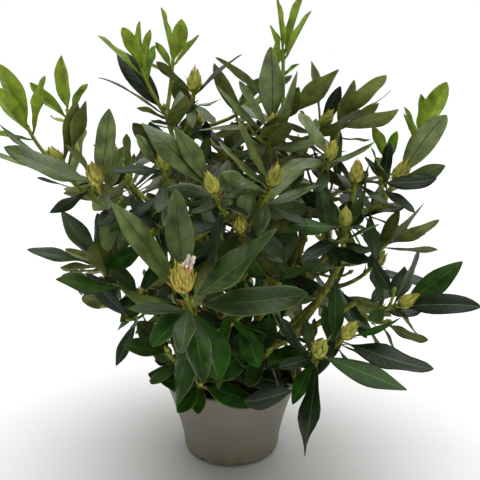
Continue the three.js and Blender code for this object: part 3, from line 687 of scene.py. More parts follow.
def tube_template(sides, steps):
    """A tube round its own middle line, closed at both ends by a narrow ring."""
    places = [0] + [step / steps for step in range(steps + 1)] + [1]
    widths = [0.02] + [1] * (steps + 1) + [0.02]
    angle, place, width, faces = [], [], [], []
    for at_place, at_width in zip(places, widths):
        for index in range(sides):
            angle.append(2 * math.pi * index / sides)
            place.append(at_place)
            width.append(at_width)
    for ring in range(len(places) - 1):
        for index in range(sides):
            following = (index + 1) % sides
            faces.append([ring * sides + index, ring * sides + following,
                          (ring + 1) * sides + following, (ring + 1) * sides + index])
    return Template(faces, angle=angle, place=place, width=width)


LEAF_SHELL = sheet_template(LEAF_COLUMNS, LEAF_ROWS)
LEAF_SHEET = sheet_template([-1, 0, 1], (0.02, STALK_SHARE, 0.45, 0.65, 0.85, 1), closed=False)
TUBE = tube_template(TWIG_SIDES, TWIG_STEPS)
PAST_FOOT = TUBE.faces[TWIG_SIDES * 3:]  # without the foot, which may touch blades of its own mass


def tube_points(path, radius_at, template=TUBE):
    """Points of a tube along a path, with its radius given for each share of the length."""
    place, angle = template.measures["place"], template.measures["angle"]
    points = []
    for index in range(len(place)):
        along = path.along(place[index])
        side = Vector((0, 1, 0)).cross(along)
        if side.length < 0.3:
            side = UP.cross(along)
        side.normalize()
        face = side.cross(along)
        radius = radius_at(place[index]) * template.measures["width"][index]
        out = side * math.sin(angle[index]) + face * math.cos(angle[index])
        points.append(path.point(place[index]) + out * radius)
    return np.array(points)


def twig_radius(twig):
    """A twig swells where each year's growth begins and below its whorl."""
    base, tip = twig.radii()

    def radius_at(place):
        year_mark = 0.16 * math.exp(-((place - 0.1) / 0.07) ** 2)
        collar = 0.22 * math.exp(-((place - 0.97) / 0.08) ** 2)
        return mix(base, tip, place) * (1 + (year_mark + collar))

    return radius_at


class Room:
    """What is already in place, so that leaves and side twigs keep out of it."""

    def __init__(self):
        self.placed = []

    def keep(self, owner, points, faces, is_blade=False):
        tree = BVHTree.FromPolygons(points.tolist(), faces.tolist())
        self.placed.append((owner, is_blade, tree, points.min(axis=0), points.max(axis=0)))

    def is_free(self, owner, points, faces, own_faces):
        """Whether a shape crosses nothing of another owner, and its own faces cross no blade."""
        low, high = points.min(axis=0), points.max(axis=0)
        listed = points.tolist()
        whole = BVHTree.FromPolygons(listed, faces.tolist())
        part = BVHTree.FromPolygons(listed, own_faces.tolist()) if len(own_faces) else None
        for other, is_blade, tree, other_low, other_high in self.placed:
            if (other_low > high).any() or (other_high < low).any():
                continue
            if other != owner:
                if whole.overlap(tree):
                    return False
            elif is_blade and part and part.overlap(tree):
                return False
        return True


BLADE_FACES = LEAF_SHEET.faces[LEAF_SHEET.face_mean("place") > STALK_SHARE]


def hides_sky(points):
    """Whether a shape, seen from the front, reaches into an opening of the crown."""
    eye = np.array(CAMERA_PLACE) / MM
    seen = eye + (points - eye) * (-eye[1] / (points[:, 1] - eye[1]))[:, None]
    return any((np.hypot(seen[:, 0] - across, seen[:, 2] - up) < radius).any()
               for across, up, radius in OPENINGS)


def place_leaf(room, twig, plan_row, index, space):
    """Adds a leaf to its twig, turned round it a little or left out where it would touch another
    piece, leave the space of its mass or, unless it is listed, hide an opening."""
    direction, *rest = plan_row
    for nudge in NUDGES:
        turned = direction.copy()
        turned.rotate(Quaternion(twig.aim, math.radians(nudge)))
        leaf = Leaf(twig, turned, *rest, index)
        points = leaf.points(**LEAF_SHEET.measures)
        if (points < space[0]).any() or (points > space[1]).any():
            continue
        if index >= len(twig.row["hand_set"]) and hides_sky(points):
            continue
        if room.is_free(twig.mass, points, LEAF_SHEET.faces, BLADE_FACES):
            room.keep(twig.mass, points, BLADE_FACES, is_blade=True)
            twig.leaves.append(leaf)
            return


def branching(path, place, turn, opening):
    """The direction of a finer twig that leaves a path: opened from it, turned round it by degrees
    and lifted a little."""
    along = path.along(place)
    side = Vector((0, 1, 0)).cross(along).normalized()
    angle = math.radians(turn)
    out = side * math.cos(angle) + side.cross(along) * math.sin(angle)
    opened = math.radians(opening)
    return (along * math.cos(opened) + out * math.sin(opened) + UP * FINE_LIFT).normalized()


def side_twigs(twig, first_number):
    """Finer twigs that spring from a twig towards the inside of the crown, each with a small whorl
    of its own."""
    found = []
    outwards = Vector((twig.tip.x, twig.tip.y, 0)).normalized()
    for index, place in enumerate(SIDE_PLACES):
        turn = twig.row["turn"] + GOLDEN_ANGLE * (index + 2) + SIDE_TURN
        direction = branching(twig.path, place, turn, SIDE_OPENING)
        if direction.dot(outwards) > SIDE_OUTWARDS:
            continue
        start = twig.path.point(place)
        reach = SIDE_REACH * mix(*FINE_REACHES, chance(twig.number, index, 12))
        whorl_turn = 360 * chance(twig.number, index, 13)
        row = shoot("side", tuple(start + direction * reach), SIDE_LEAVES, whorl_turn)
        found.append(Twig(row, first_number + index, start, twig.mass))
    return found


def inner_twigs(spec, first_number):
    """Finer twigs that spring from a bough inside the crown."""
    bough = bough_path(spec)
    found = []
    for index, place in enumerate(INNER_PLACES):
        number = first_number + index
        direction = branching(bough, place, GOLDEN_ANGLE * number, INNER_OPENING)
        start = bough.point(place)
        reach = INNER_REACH * mix(*FINE_REACHES, chance(first_number, index, 14))
        row = shoot("inner", tuple(start + direction * reach), INNER_LEAVES, 90 * number)
        found.append(Twig(row, number, start, spec["name"]))
    return found


@lru_cache
def grown_plant():
    """Every stem and twig of the crown, with its leaves."""
    room = Room()
    for name in ["pot", "root_ball", "trunk"] + BOUGH_NODES:
        mesh = frame["nodes"][name].data
        points = np.array([vertex.co / MM for vertex in mesh.vertices])
        faces = np.array([list(triangle.vertices) for triangle in triangles(mesh)])
        room.keep("limb" if name in BOUGH_NODES else "ground", points, faces)
    stems, twigs = [], []
    for spec in LIMBS:
        stem, found = mass_twigs(spec, len(twigs))
        stems.append(stem)
        twigs += found
        for twig in found:
            room.keep(twig.mass, tube_points(twig.path, twig_radius(twig)), TUBE.faces)
            room.keep(twig.mass, bud_room(twig), TUBE.faces)
    whole = [np.array(corner) / MM for corner in CAD_BOX]
    whole = whole[0] - BOX_LEEWAY, whole[1] + BOX_LEEWAY
    for is_hand_set in (True, False):
        for twig in twigs:
            for index, plan_row in enumerate(leaf_plan(twig)):
                if (index < len(twig.row["hand_set"])) == is_hand_set:
                    place_leaf(room, twig, plan_row, index, whole)
    fine = []
    for twig in twigs:
        if twig.kind != "new":
            fine += side_twigs(twig, len(twigs) + len(SIDE_PLACES) * twig.number)
    for spec in LIMBS:
        fine += inner_twigs(spec, len(twigs) + len(SIDE_PLACES) * len(twigs) + len(fine))
    for twig in list(fine):
        is_inner = twig.kind == "inner"
        box = CAD_BOX if is_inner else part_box("leaves_" + twig.mass)
        space = [np.array(corner) / MM for corner in box]
        space[0][2] = max(space[0][2], INNER_LOWEST if is_inner else 0)
        tested = Path(twig.path.point(INNER_FOOT), twig.tip) if is_inner else twig.path
        points = tube_points(tested, twig_radius(twig))
        outside = (points < space[0]).any() or (points > space[1]).any()
        if outside or not room.is_free(twig.mass, points, TUBE.faces, PAST_FOOT):
            fine.remove(twig)
            continue
        room.keep(twig.mass, points, TUBE.faces)
        for index, plan_row in enumerate(leaf_plan(twig)):
            place_leaf(room, twig, plan_row, index, space)
    return stems, twigs + [twig for twig in fine if twig.leaves]


def triangles(mesh):
    mesh.calc_loop_triangles()
    return mesh.loop_triangles


def bud_room(twig):
    """The tube that an end bud fills, on the tube template."""
    radius, half = KINDS[twig.kind]["bud"]
    ends = Path(twig.tip - twig.aim * (0.25 * half), twig.tip + twig.aim * (1.75 * half))
    return tube_points(ends, lambda place: radius * math.sqrt(max(0.02, 4 * place * (1 - place))))


# ---- meshes and materials ----

def deselect():
    if bpy.context.object and bpy.context.object.mode != "OBJECT":
        bpy.ops.object.mode_set(mode="OBJECT")
    bpy.ops.object.select_all(action="DESELECT")


def activate(piece):
    deselect()
    piece.select_set(True)
    bpy.context.view_layer.objects.active = piece


def settle(piece, name, slot, *nodes):
    """Names a finished piece, puts its place in its mesh, and hands it to the frame."""
    activate(piece)
    bpy.ops.object.transform_apply(location=True, rotation=True, scale=True)
    piece.name = piece.data.name = name
    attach(piece, "root")
    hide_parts(*nodes)
    return piece


class Heap:
    """Many small shapes gathered into one mesh."""

    def __init__(self, materials):
        self.materials = materials
        self.points, self.faces, self.slots, self.uvs = [], [], [], []
        self.count = 0

    def add(self, points, faces, slots, uvs=None):
        self.points.append(points)
        self.faces.append(faces + self.count)
        self.slots.append(np.broadcast_to(slots, len(faces)))
        corners = np.zeros((len(points), 2)) if uvs is None else uvs
        self.uvs.append(corners[faces.ravel()])
        self.count += len(points)

    def build(self, name):
        mesh = bpy.data.meshes.new(name)
        faces = np.vstack(self.faces)
        mesh.from_pydata((np.vstack(self.points) * MM).tolist(), [], faces.tolist())
        for material in self.materials:
            mesh.materials.append(material)
        mesh.polygons.foreach_set("material_index", np.concatenate(self.slots).astype(np.int32))
        mesh.uv_layers.new(name="surface").data.foreach_set("uv", np.vstack(self.uvs).ravel())
        mesh.shade_smooth()
        mesh.update()
        piece = bpy.data.objects.new(name, mesh)
        bpy.context.scene.collection.objects.link(piece)
        return piece


class Nodes:
    """Short calls to add nodes to a tree. A socket takes a value, or another node's output."""

    def __init__(self, tree):
        self.nodes = tree.nodes
        self.links = tree.links

    def fill(self, socket, value):
        if isinstance(value, bpy.types.NodeSocket):
            self.links.new(value, socket)
        else:
            socket.default_value = value

    def add(self, kind, tree=None, **values):
        """The outputs of a new node. In the names of its inputs an underscore stands for a space."""
        node = self.nodes.new("ShaderNode" + kind)
        if tree:
            node.node_tree = tree
        for name, value in values.items():
            self.fill(node.inputs[name.replace("_", " ")], value)
        return node.outputs

    def math(self, operation, *values):
        node = self.nodes.new("ShaderNodeMath")
        node.operation = operation
        for socket, value in zip(node.inputs, values):
            self.fill(socket, value)
        return node.outputs[0]

    def scaled(self, vector, scale):
        node = self.nodes.new("ShaderNodeVectorMath")
        node.operation = "SCALE"
        self.fill(node.inputs[0], vector)
        self.fill(node.inputs["Scale"], scale)
        return node.outputs[0]

    def mixed(self, share_of_second, first, second):
        """One colour mixed into another. The node has sockets of one name for each type."""
        node = self.nodes.new("ShaderNodeMix")
        node.data_type = "RGBA"
        colours = [socket for socket in node.inputs if socket.type == "RGBA"]
        for socket, value in zip((node.inputs[0], *colours), (share_of_second, first, second)):
            self.fill(socket, value)
        return next(socket for socket in node.outputs if socket.type == "RGBA")


class Finish(Nodes):
    """A material with its Principled shader."""

    def __init__(self, name, base_colour, roughness, gloss):
        self.material = bpy.data.materials.new(name)
        self.material.use_nodes = True
        super().__init__(self.material.node_tree)
        self.shader = self.nodes["Principled BSDF"]
        self.feed(Base_Color=(*base_colour, 1), Roughness=roughness, Specular_IOR_Level=gloss)

    def feed(self, **values):
        """Fills the shader's own sockets."""
        for name, value in values.items():
            self.fill(self.shader.inputs[name.replace("_", " ")], value)


class Group(Nodes):
    """A shader node group, from its inputs as (name, socket type, default) and its outputs as
    (name, socket type)."""

    def __init__(self, name, inputs, outputs):
        self.tree = bpy.data.node_groups.new(name, "ShaderNodeTree")
        super().__init__(self.tree)
        for socket, kind, default in inputs:
            made = self.tree.interface.new_socket(socket, in_out="INPUT",
                                                  socket_type="NodeSocket" + kind)
            if default is not None:
                made.default_value = default
        for socket, kind in outputs:
            self.tree.interface.new_socket(socket, in_out="OUTPUT", socket_type="NodeSocket" + kind)
        self.given = self.nodes.new("NodeGroupInput").outputs
        self.result = self.nodes.new("NodeGroupOutput").inputs


@lru_cache
def mottle_group():
    """Two sizes of soft mottling, as a height, a roughness between two limits and a shaded colour."""
    group = Group(
        "Mottle",
        [("Vector", "Vector", None), ("Scale", "Float", 300.0), ("Dullest", "Float", 0.6),
         ("Shiniest", "Float", 0.4), ("Color", "Color", None), ("Unevenness", "Float", 1.0)],
        [("Height", "Float"), ("Roughness", "Float"), ("Color", "Color")])
    given, result = group.given, group.result
    fine = group.add("TexNoise", Vector=given["Vector"], Scale=given["Scale"], Detail=4)
    group.links.new(fine["Fac"], result["Height"])
    broad_scale = group.math("MULTIPLY", given["Scale"], 0.12)
    broad = group.add("TexNoise", Vector=given["Vector"], Scale=broad_scale, Detail=2)
    spread = group.add("MapRange", Value=broad["Fac"], From_Min=0.3, From_Max=0.7,
                       To_Min=given["Shiniest"], To_Max=given["Dullest"])
    group.links.new(spread["Result"], result["Roughness"])
    centred = group.math("SUBTRACT", broad["Fac"], 0.5)
    shade = group.math("MULTIPLY_ADD", centred, given["Unevenness"], 1)
    group.links.new(group.scaled(given["Color"], shade), result["Color"])
    return group.tree


@lru_cache
def vein_group():
    """Side veins that leave the midrib at a slant, as a height on the leaf's own UV map."""
    group = Group(
        "Side Veins",
        [("UV", "Vector", None), ("Pairs", "Float", 11.0), ("Slant", "Float", 0.28)],
        [("Height", "Float")])
    split = group.add("SeparateXYZ", Vector=group.given["UV"])
    out = group.math("ABSOLUTE", group.math("SUBTRACT", split["X"], 0.5))
    slanted = group.math("MULTIPLY", out, group.given["Slant"])
    step = group.math("SUBTRACT", split["Y"], slanted)
    turns = group.math("MULTIPLY", group.math("MULTIPLY", step, group.given["Pairs"]), math.pi)
    wave = group.math("ABSOLUTE", group.math("SINE", turns))
    group.links.new(group.math("POWER", wave, 0.35), group.result["Height"])
    return group.tree


def add_mottle(finish, scale, dullest, shiniest, relief, veins=0.0, unevenness=1.0):
    """Colour, roughness and relief from the shared groups: mottling, and side veins on a leaf."""
    coordinates = finish.add("TexCoord")
    base = finish.shader.inputs["Base Color"]
    own_colour = base.links[0].from_socket if base.is_linked else base.default_value
    mottle = finish.add("Group", mottle_group(), Vector=coordinates["Object"], Scale=scale,
                        Dullest=dullest, Shiniest=shiniest, Color=own_colour,
                        Unevenness=unevenness)
    bump = {"Strength": 0.35, "Distance": relief, "Height": mottle["Height"]}
    if veins:
        height = finish.add("Group", vein_group(), UV=coordinates["UV"])["Height"]
        ribs = finish.add("Bump", Strength=0.5, Distance=veins, Height=height)
        bump["Normal"] = ribs["Normal"]
    finish.feed(Base_Color=mottle["Color"], Roughness=mottle["Roughness"],
                Normal=finish.add("Bump", **bump)["Normal"])
    return finish.material


def blended(first, second, place=0.5):
    return tuple(mix(a, b, place) for a, b in zip(first, second))


def leaf_finish(name, base_colour, roughness=None, veins=0.0005, gloss=0.5):
    level = settings().leaf.roughness if roughness is None else roughness
    finish = Finish(name, base_colour, level, gloss)
    return add_mottle(finish, scale=700.0, dullest=level + 0.09, shiniest=level - 0.07,
                      relief=0.0002, veins=veins, unevenness=2.1)


# ---- the pot and its soil ----

def pot_radius(height):
    """The wall's outside at a height, in millimetres: round at the foot, then flared to the rim."""
    pot = settings().pot
    if height < POT_FOOT_HEIGHT:
        lift = 1 - height / POT_FOOT_HEIGHT
        return mix(POT_FOOT_RADIUS, POT_BASE_RADIUS, math.sqrt(1 - lift * lift))
    place = (height - POT_FOOT_HEIGHT) / (pot.height / MM - POT_FOOT_HEIGHT)
    return mix(POT_BASE_RADIUS, pot.rim_radius / MM, place ** POT_FLARE)


def wall(low, high, inset, count):
    """Radii and heights of the wall from one height to another, set in from its outside."""
    heights = [mix(low, high, step / count) for step in range(count + 1)]
    return [(pot_radius(height) - inset, height) for height in heights]


def turned_piece(outline, sides):
    """A disc extruded upwards and scaled from one (radius, height) of an outline to the next."""
    radius, height = outline[0]
    deselect()
    bpy.ops.mesh.primitive_circle_add(vertices=sides, radius=radius * MM, fill_type="NGON",
                                      location=(0, 0, height * MM))
    piece = bpy.context.object
    bpy.ops.object.transform_apply(location=True)
    bpy.ops.object.mode_set(mode="EDIT")
    bpy.ops.mesh.select_all(action="SELECT")
    for next_radius, next_height in outline[1:]:
        step = (0, 0, (next_height - height) * MM)
        bpy.ops.mesh.extrude_region_move(TRANSFORM_OT_translate={"value": step})
        scale = next_radius / radius
        bpy.ops.transform.resize(value=(scale, scale, 1), center_override=(0, 0, next_height * MM))
        radius, height = next_radius, next_height
    bpy.ops.mesh.select_all(action="SELECT")
    bpy.ops.mesh.normals_make_consistent(inside=False)
    bpy.ops.object.mode_set(mode="OBJECT")
    return piece


def pot_material():
    """Plastic with soft streaks, and paler dirt in patches that thin out up from the foot: real
    splashes, made pale to paint light over the shade at the foot.
    """
    pot = settings().pot
    finish = Finish("pot_plastic", pot.plastic, 0.62, 0.35)
    place = finish.add("TexCoord")["Object"]
    up = finish.add("SeparateXYZ", Vector=place)["Z"]
    # Most at the foot: the paler dirt, which also paints light where the foot is shaded.
    low = finish.add("MapRange", Value=up, From_Max=0.045, To_Min=1.0, To_Max=0.0)["Result"]
    patches = finish.add("TexNoise", Vector=place, Scale=38.0, Detail=6.0, Roughness=0.65)["Fac"]
    thick = finish.add("MapRange", Value=patches, From_Min=0.38, From_Max=0.72, To_Min=0.06)["Result"]
    streaks = finish.add("TexNoise", Vector=place, Scale=12.0, Detail=3.0)["Fac"]
    shade = finish.add("MapRange", Value=streaks, From_Min=0.3, From_Max=0.7, To_Min=0.88,
                       To_Max=1.1)["Result"]
    tint = finish.mixed(finish.math("MULTIPLY", low, thick), finish.scaled(pot.plastic, shade),
                        (*pot.grime_and_painted_light, 1))
    finish.feed(Base_Color=tint)
    return add_mottle(finish, scale=900.0, dullest=0.7, shiniest=0.5, relief=0.00012, unevenness=0.2)


def soil_material(name, base_colour, scale):
    finish = Finish(name, base_colour, 0.95, 0.2)
    return add_mottle(finish, scale=scale, dullest=1.0, shiniest=0.85, relief=0.001)


def pot_outline():
    """The pot's section from the middle of its underside, over the rim, to the middle inside."""
    pot = settings().pot
    top = pot.height / MM
    lip_reach = (pot.rim_radius + pot.lip) / MM
    inside = pot.rim_radius / MM - POT_WALL
    outline = [(POT_FOOT_RADIUS - 6, 0)] + wall(0, POT_FOOT_HEIGHT, 0, 5)
    outline += wall(POT_FOOT_HEIGHT, top - 4.4, 0, 12)[1:]
    outline += [(lip_reach - behind, top - below) for behind, below in LIP_OUTLINE]
    outline += [(inside + 0.6, top), (inside, top - 0.5)]
    outline += wall(POT_FLOOR, top - 5, POT_WALL, 10)[::-1]
    outline.append((4, POT_FLOOR))
    return outline


def notch_cutter():
    """Rounded blocks round the foot, as one object."""
    deselect()
    blocks = []
    for index in range(NOTCHES):
        turn = NOTCH_TURN + 360 / NOTCHES * index
        bpy.ops.mesh.primitive_cube_add(
            size=1, rotation=(0, 0, math.radians(turn)),
            location=[value * MM for value in around(turn, POT_BASE_RADIUS, 0)])
        block = bpy.context.object
        block.scale = [size * MM for size in NOTCH_SIZE]
        blocks.append(block)
    for block in blocks:
        block.select_set(True)
    bpy.ops.object.transform_apply(location=True, rotation=True, scale=True)
    bpy.ops.object.join()
    cutter = bpy.context.object
    rounded = cutter.modifiers.new("rounded", "BEVEL")
    rounded.width = NOTCH_ROUNDING * MM
    rounded.segments = 3
    bpy.ops.object.modifier_apply(modifier=rounded.name)
    return cutter


def make_pot():
    """The pot with its floor, its rolled rim and the drain notches cut from its foot."""
    piece = turned_piece(pot_outline(), POT_SIDES)
    cutter = notch_cutter()
    activate(piece)
    cut = piece.modifiers.new("drain notches", "BOOLEAN")
    cut.operation = "DIFFERENCE"
    cut.object = cutter
    cut.solver = "EXACT"
    bpy.ops.object.modifier_apply(modifier=cut.name)
    bpy.data.objects.remove(cutter)
    bpy.ops.object.shade_smooth_by_angle(angle=math.radians(40))
    piece.data.materials.append(pot_material())
    settle(piece, "nursery_pot", "pot_plastic", "pot")


def soil_height(x, y):
    """The lumpy surface of the soil, in millimetres, at a point in millimetres."""
    out = math.hypot(x, y)
    drop = SOIL_EDGE_DROP * max(0, (out - SOIL_LEVEL_TO) / (SOIL_HIGH.x - SOIL_LEVEL_TO))
    broad_lumps = 2.2 * noise.noise(Vector((x, y, 3)) * 0.06)
    small_lumps = 1.1 * noise.noise(Vector((x, y, 9)) * 0.22)
    mound = MOUND_HEIGHT * math.exp(-(out / MOUND_RADIUS) ** 2)
    return SOIL_TOP - drop + (broad_lumps + small_lumps) + mound


def make_soil():
    """The root ball down to the pot's floor, with a lumpy surface that drops to its edge."""
    floor = SOIL_LOW.z
    edge_height = SOIL_TOP - SOIL_EDGE_DROP
    outline = [(pot_radius(floor) - POT_WALL - SOIL_GAP, floor)]
    outline += wall(20, edge_height, POT_WALL + SOIL_GAP, 4)
    outline += [(SOIL_HIGH.x * (1 - ring / SOIL_RINGS), edge_height) for ring in range(1, SOIL_RINGS)]
    piece = turned_piece(outline, SOIL_SIDES)
    rim_height = (edge_height - 0.5) * MM
    for vertex in piece.data.vertices:
        if vertex.co.z > rim_height:
            vertex.co.z = soil_height(vertex.co.x / MM, vertex.co.y / MM) * MM
    piece.data.materials.append(soil_material("soil", settings().pot.soil, 260.0))
    piece.data.shade_smooth()
    settle(piece, "soil", "soil", "root_ball")


def make_crumbs():
    """Crumbs of compost and chips of bark: one lump, copied, turned and flattened."""
    pot = settings().pot
    deselect()
    bpy.ops.mesh.primitive_ico_sphere_add(subdivisions=1, radius=1)
    lump = bpy.context.object
    points = np.array([vertex.co for vertex in lump.data.vertices])
    faces = np.array([list(polygon.vertices) for polygon in lump.data.polygons])
    bpy.data.objects.remove(lump)
    heap = Heap([soil_material("crumbs", pot.soil, 900.0),
                 soil_material("bark_chips", pot.chip, 500.0),
                 soil_material("dark_chips", blended(pot.soil, pot.chip), 500.0)])
    crumb, pale_chip, dark_chip = range(3)
    for index in range(pot.crumbs):
        out, bearing, kind, bulk, breadth, spin, lean, paleness = (
            chance(index, question, 20) for question in range(1, 9))
        x, y, _ = around(360 * bearing, (SOIL_HIGH.x - 3) * math.sqrt(out), 0)
        if kind < CHIP_SHARE:
            size = mix(*CHIP_SIZE, bulk ** 2)
            flat = (1, mix(0.4, 0.7, breadth), 0.28)
            slot = pale_chip if paleness < 0.5 else dark_chip
        else:
            size = mix(*CRUMB_SIZE, bulk)
            flat = (1, 0.8, 0.75)
            slot = crumb
        tilt = Quaternion((1, 0, 0), mix(-0.5, 0.5, lean))
        turn = np.array((Quaternion(UP, FULL_TURN * spin) @ tilt).to_matrix())
        rough = 1 + 0.3 * np.sin(points[:, :1] * 5 + index) * np.cos(points[:, 1:2] * 7 + index)
        shape = (points * rough * (size * np.array(flat))) @ turn.T
        heap.add(shape + np.array((x, y, soil_height(x, y) + 0.2 * size)), faces, slot)
    settle(heap.build("soil_crumbs"), "soil_crumbs", "soil", "root_ball")


# ---- trunk and boughs ----

def limb_curve(path, radius_at, count=6):
    """A curve object along a path, in metres, round and tapered."""
    data = bpy.data.curves.new("limb", "CURVE")
    data.dimensions = "3D"
    data.bevel_depth = 1
    data.bevel_resolution = 3
    data.use_fill_caps = True
    spline = data.splines.new("POLY")
    spline.points.add(count)
    for index, point in enumerate(spline.points):
        place = index / count
        point.co = (*(path.point(place) * MM), 1)
        point.radius = radius_at(place) * MM
    curve = bpy.data.objects.new("limb", data)
    bpy.context.scene.collection.objects.link(curve)
    return curve


def trunk_radius(place):
    return mix(TRUNK_RADIUS, TRUNK_TIP_RADIUS, place) + TRUNK_FLARE * (1 - place) ** 6


def bough_radius(place):
    return mix(BOUGH_BASE_RADIUS, BOUGH_TIP_RADIUS, place)


def bark_material():
    """Bark with furrows along the wood, darker in their depth."""
    wood = settings().wood
    finish = Finish("bark", wood.bark, 0.85, 0.25)
    place = finish.add("TexCoord")["Object"]
    stretched = finish.add("Mapping", Vector=place, Scale=(1, 1, 0.25))["Vector"]
    furrows = finish.add("TexNoise", Vector=stretched, Scale=420.0, Detail=5.0, Roughness=0.6)["Fac"]
    ramp = finish.nodes.new("ShaderNodeValToRGB")
    cracks, ridges = ramp.color_ramp.elements
    cracks.position = 0.36
    cracks.color = (*wood.bark_cracks, 1)
    ridges.position = 0.62
    ridges.color = (*wood.bark, 1)
    finish.fill(ramp.inputs["Fac"], furrows)
    finish.feed(Base_Color=ramp.outputs["Color"])
    return add_mottle(finish, scale=600.0, dullest=0.95, shiniest=0.75, relief=0.0006)


def make_wood():
    """Trunk and boughs as one mesh, grown together at the forks, with the bark's furrows."""
    curves = [limb_curve(Path(Vector((0, 0, SOIL_TOP - 1)), Vector((0, 0, TRUNK_TOP))), trunk_radius)]
    curves += [limb_curve(bough_path(spec), bough_radius, 10) for spec in LIMBS]
    deselect()
    for curve in curves:
        curve.select_set(True)
    bpy.context.view_layer.objects.active = curves[0]
    bpy.ops.object.convert(target="MESH")
    bpy.ops.object.join()
    piece = bpy.context.object
    remesh = piece.modifiers.new("grown together", "REMESH")
    remesh.mode = "VOXEL"
    remesh.voxel_size = BARK_VOXEL * MM
    bpy.ops.object.modifier_apply(modifier=remesh.name)
    smooth = piece.modifiers.new("smooth", "SMOOTH")
    smooth.iterations = 3
    bpy.ops.object.modifier_apply(modifier=smooth.name)
    depth = settings().wood.relief
    normals = [vertex.normal.copy() for vertex in piece.data.vertices]
    for vertex, normal in zip(piece.data.vertices, normals):
        place = vertex.co / MM
        furrow = noise.noise(Vector((place.x * 0.42, place.y * 0.42, place.z * 0.09)))
        pores = noise.noise(place * 0.5)
        vertex.co += normal * depth * (0.7 * furrow + 0.3 * pores)
    piece.data.shade_smooth()
    piece.data.materials.append(bark_material())
    settle(piece, "trunk_and_boughs", "bark", "trunk", *BOUGH_NODES)


def twig_finish(name, base_colour, roughness):
    finish = Finish(name, base_colour, roughness, 0.35)
    return add_mottle(finish, scale=800.0, dullest=roughness + 0.1, shiniest=roughness - 0.1,
                      relief=0.0004)


def make_twigs():
    """Stems and twigs: brown where they leave the bough, olive in the middle, green at the tip."""
    wood = settings().wood
    bark, olive, green = range(3)
    heap = Heap([twig_finish("young_bark", blended(wood.bark, wood.olive), 0.7),
                 twig_finish("olive_twig", wood.olive, 0.55),
                 twig_finish("green_twig", wood.green, 0.45)])
    stems, twigs = grown_plant()
    place = TUBE.face_mean("place")
    for stem in stems:
        heap.add(tube_points(stem, lambda _: STEM_RADIUS), TUBE.faces, bark)
    for twig in twigs:
        if twig.kind == "new":
            slots = green
        elif twig.kind in FINE_KINDS:
            slots = np.where(place < 0.4, olive, green)
        else:
            slots = np.select([place < 0.25, place < 0.55], [bark, olive], green)
        heap.add(tube_points(twig.path, twig_radius(twig)), TUBE.faces, slots)
    settle(heap.build("twigs"), "twigs", "bark", *MASS_NODES)


# ---- leaves ----

# Upper sides: the greenest to the dullest, dealt out as painted shade low down and painted sheen high
# up; then olive and the darkest green.
MOST_SHADED_TOP, MOST_SHEEN_TOP, OLIVE_TOP, DEEP_AND_SHADE_TOP = 0, 4, 5, 6
# The two dullest tops, whose dull green is painted sheen.
SHEENED_TOPS = (3, 4)  # these have a midrib darker than the blade
TOP_GLOSS = (0.15, 0.25, 0.4, 0.5, 0.6, 0.45, 0.3)
NEW_GLOSS = 0.25
SHADED_SPRAY_HEIGHT = 160  # height up to which sprays take the greenest tint, a painted shade, in millimetres
SHEEN_STEP = 90  # height from one green to the next duller, a painted sheen that grows up the plant
SPRAY_SPREAD = 1.8
OLD_IN_OLDER = 0.3  # shares of leaves that are olive
OLD_IN_WHORL = 0.04
PAINTED_SHADE_FROM = {"side": 0.45, "inner": 0.45, "flower": 1}  # the draw above which a leaf takes the darkest green: lower on twigs inside the crown, where it is painted shade, and never on the flower's shoot, whose upright leaves keep their painted sheen
DEEP_FROM_MOSTLY = 0.75


def leaf_parts():
    """What each face of a leaf is: 0 upper side, 1 underside, 2 midrib on top, 3 stalk or midrib
    underneath, 4 rim."""
    place, side = LEAF_SHELL.face_mean("place"), LEAF_SHELL.face_mean("side")
    out = np.abs(LEAF_SHELL.face_mean("across"))
    on_midrib, on_rim = out < LEAF_COLUMNS[4], out > LEAF_COLUMNS[-2]
    is_top = side > 0
    return np.select([place < LEAF_STALK, on_midrib & is_top, on_midrib, on_rim & is_top, is_top],
                     [3, 2, 3, 4, 0], 1)


def add_leaf(heap, leaf, slots):
    """Adds a leaf whose upper side, underside, midrib, stalk and rim take the five slots."""
    measures = LEAF_SHELL.measures
    uvs = np.column_stack([measures["across"] / 2 + 0.5, measures["place"]])
    heap.add(leaf.points(**measures), LEAF_SHELL.faces, np.array(slots)[leaf_parts()], uvs)


def leaf_top(twig, leaf):
    """Which upper side a leaf has: olive or the darkest green for some, and otherwise its spray's
    own, duller higher up the plant and on leaves that stand as painted sheen, and greener on leaves
    that hang as painted shade."""
    luck = chance(twig.number, leaf.index, 38)
    if luck < (OLD_IN_OLDER if leaf.is_older else OLD_IN_WHORL):
        return OLIVE_TOP
    # The darkest green, at random, and more often inside the crown as painted shade.
    if luck > PAINTED_SHADE_FROM.get(twig.kind, DEEP_FROM_MOSTLY):
        return DEEP_AND_SHADE_TOP
    # Higher sprays take duller tints as painted sheen from the light overhead, low ones greener tints
    # as painted shade.
    level = max(0, twig.tip.z - SHADED_SPRAY_HEIGHT) / SHEEN_STEP
    top = min(MOST_SHEEN_TOP, int(level + SPRAY_SPREAD * chance(twig.number, 0, 30)))
    # A standing leaf takes a duller tint as painted sheen, a hanging one a greener tint as painted
    # shade.
    rise = leaf.start.normalized().z
    if rise > 0.6:
        top += 1
    elif rise < -0.2:
        top -= 1
    return min(MOST_SHEEN_TOP, max(MOST_SHADED_TOP, top))


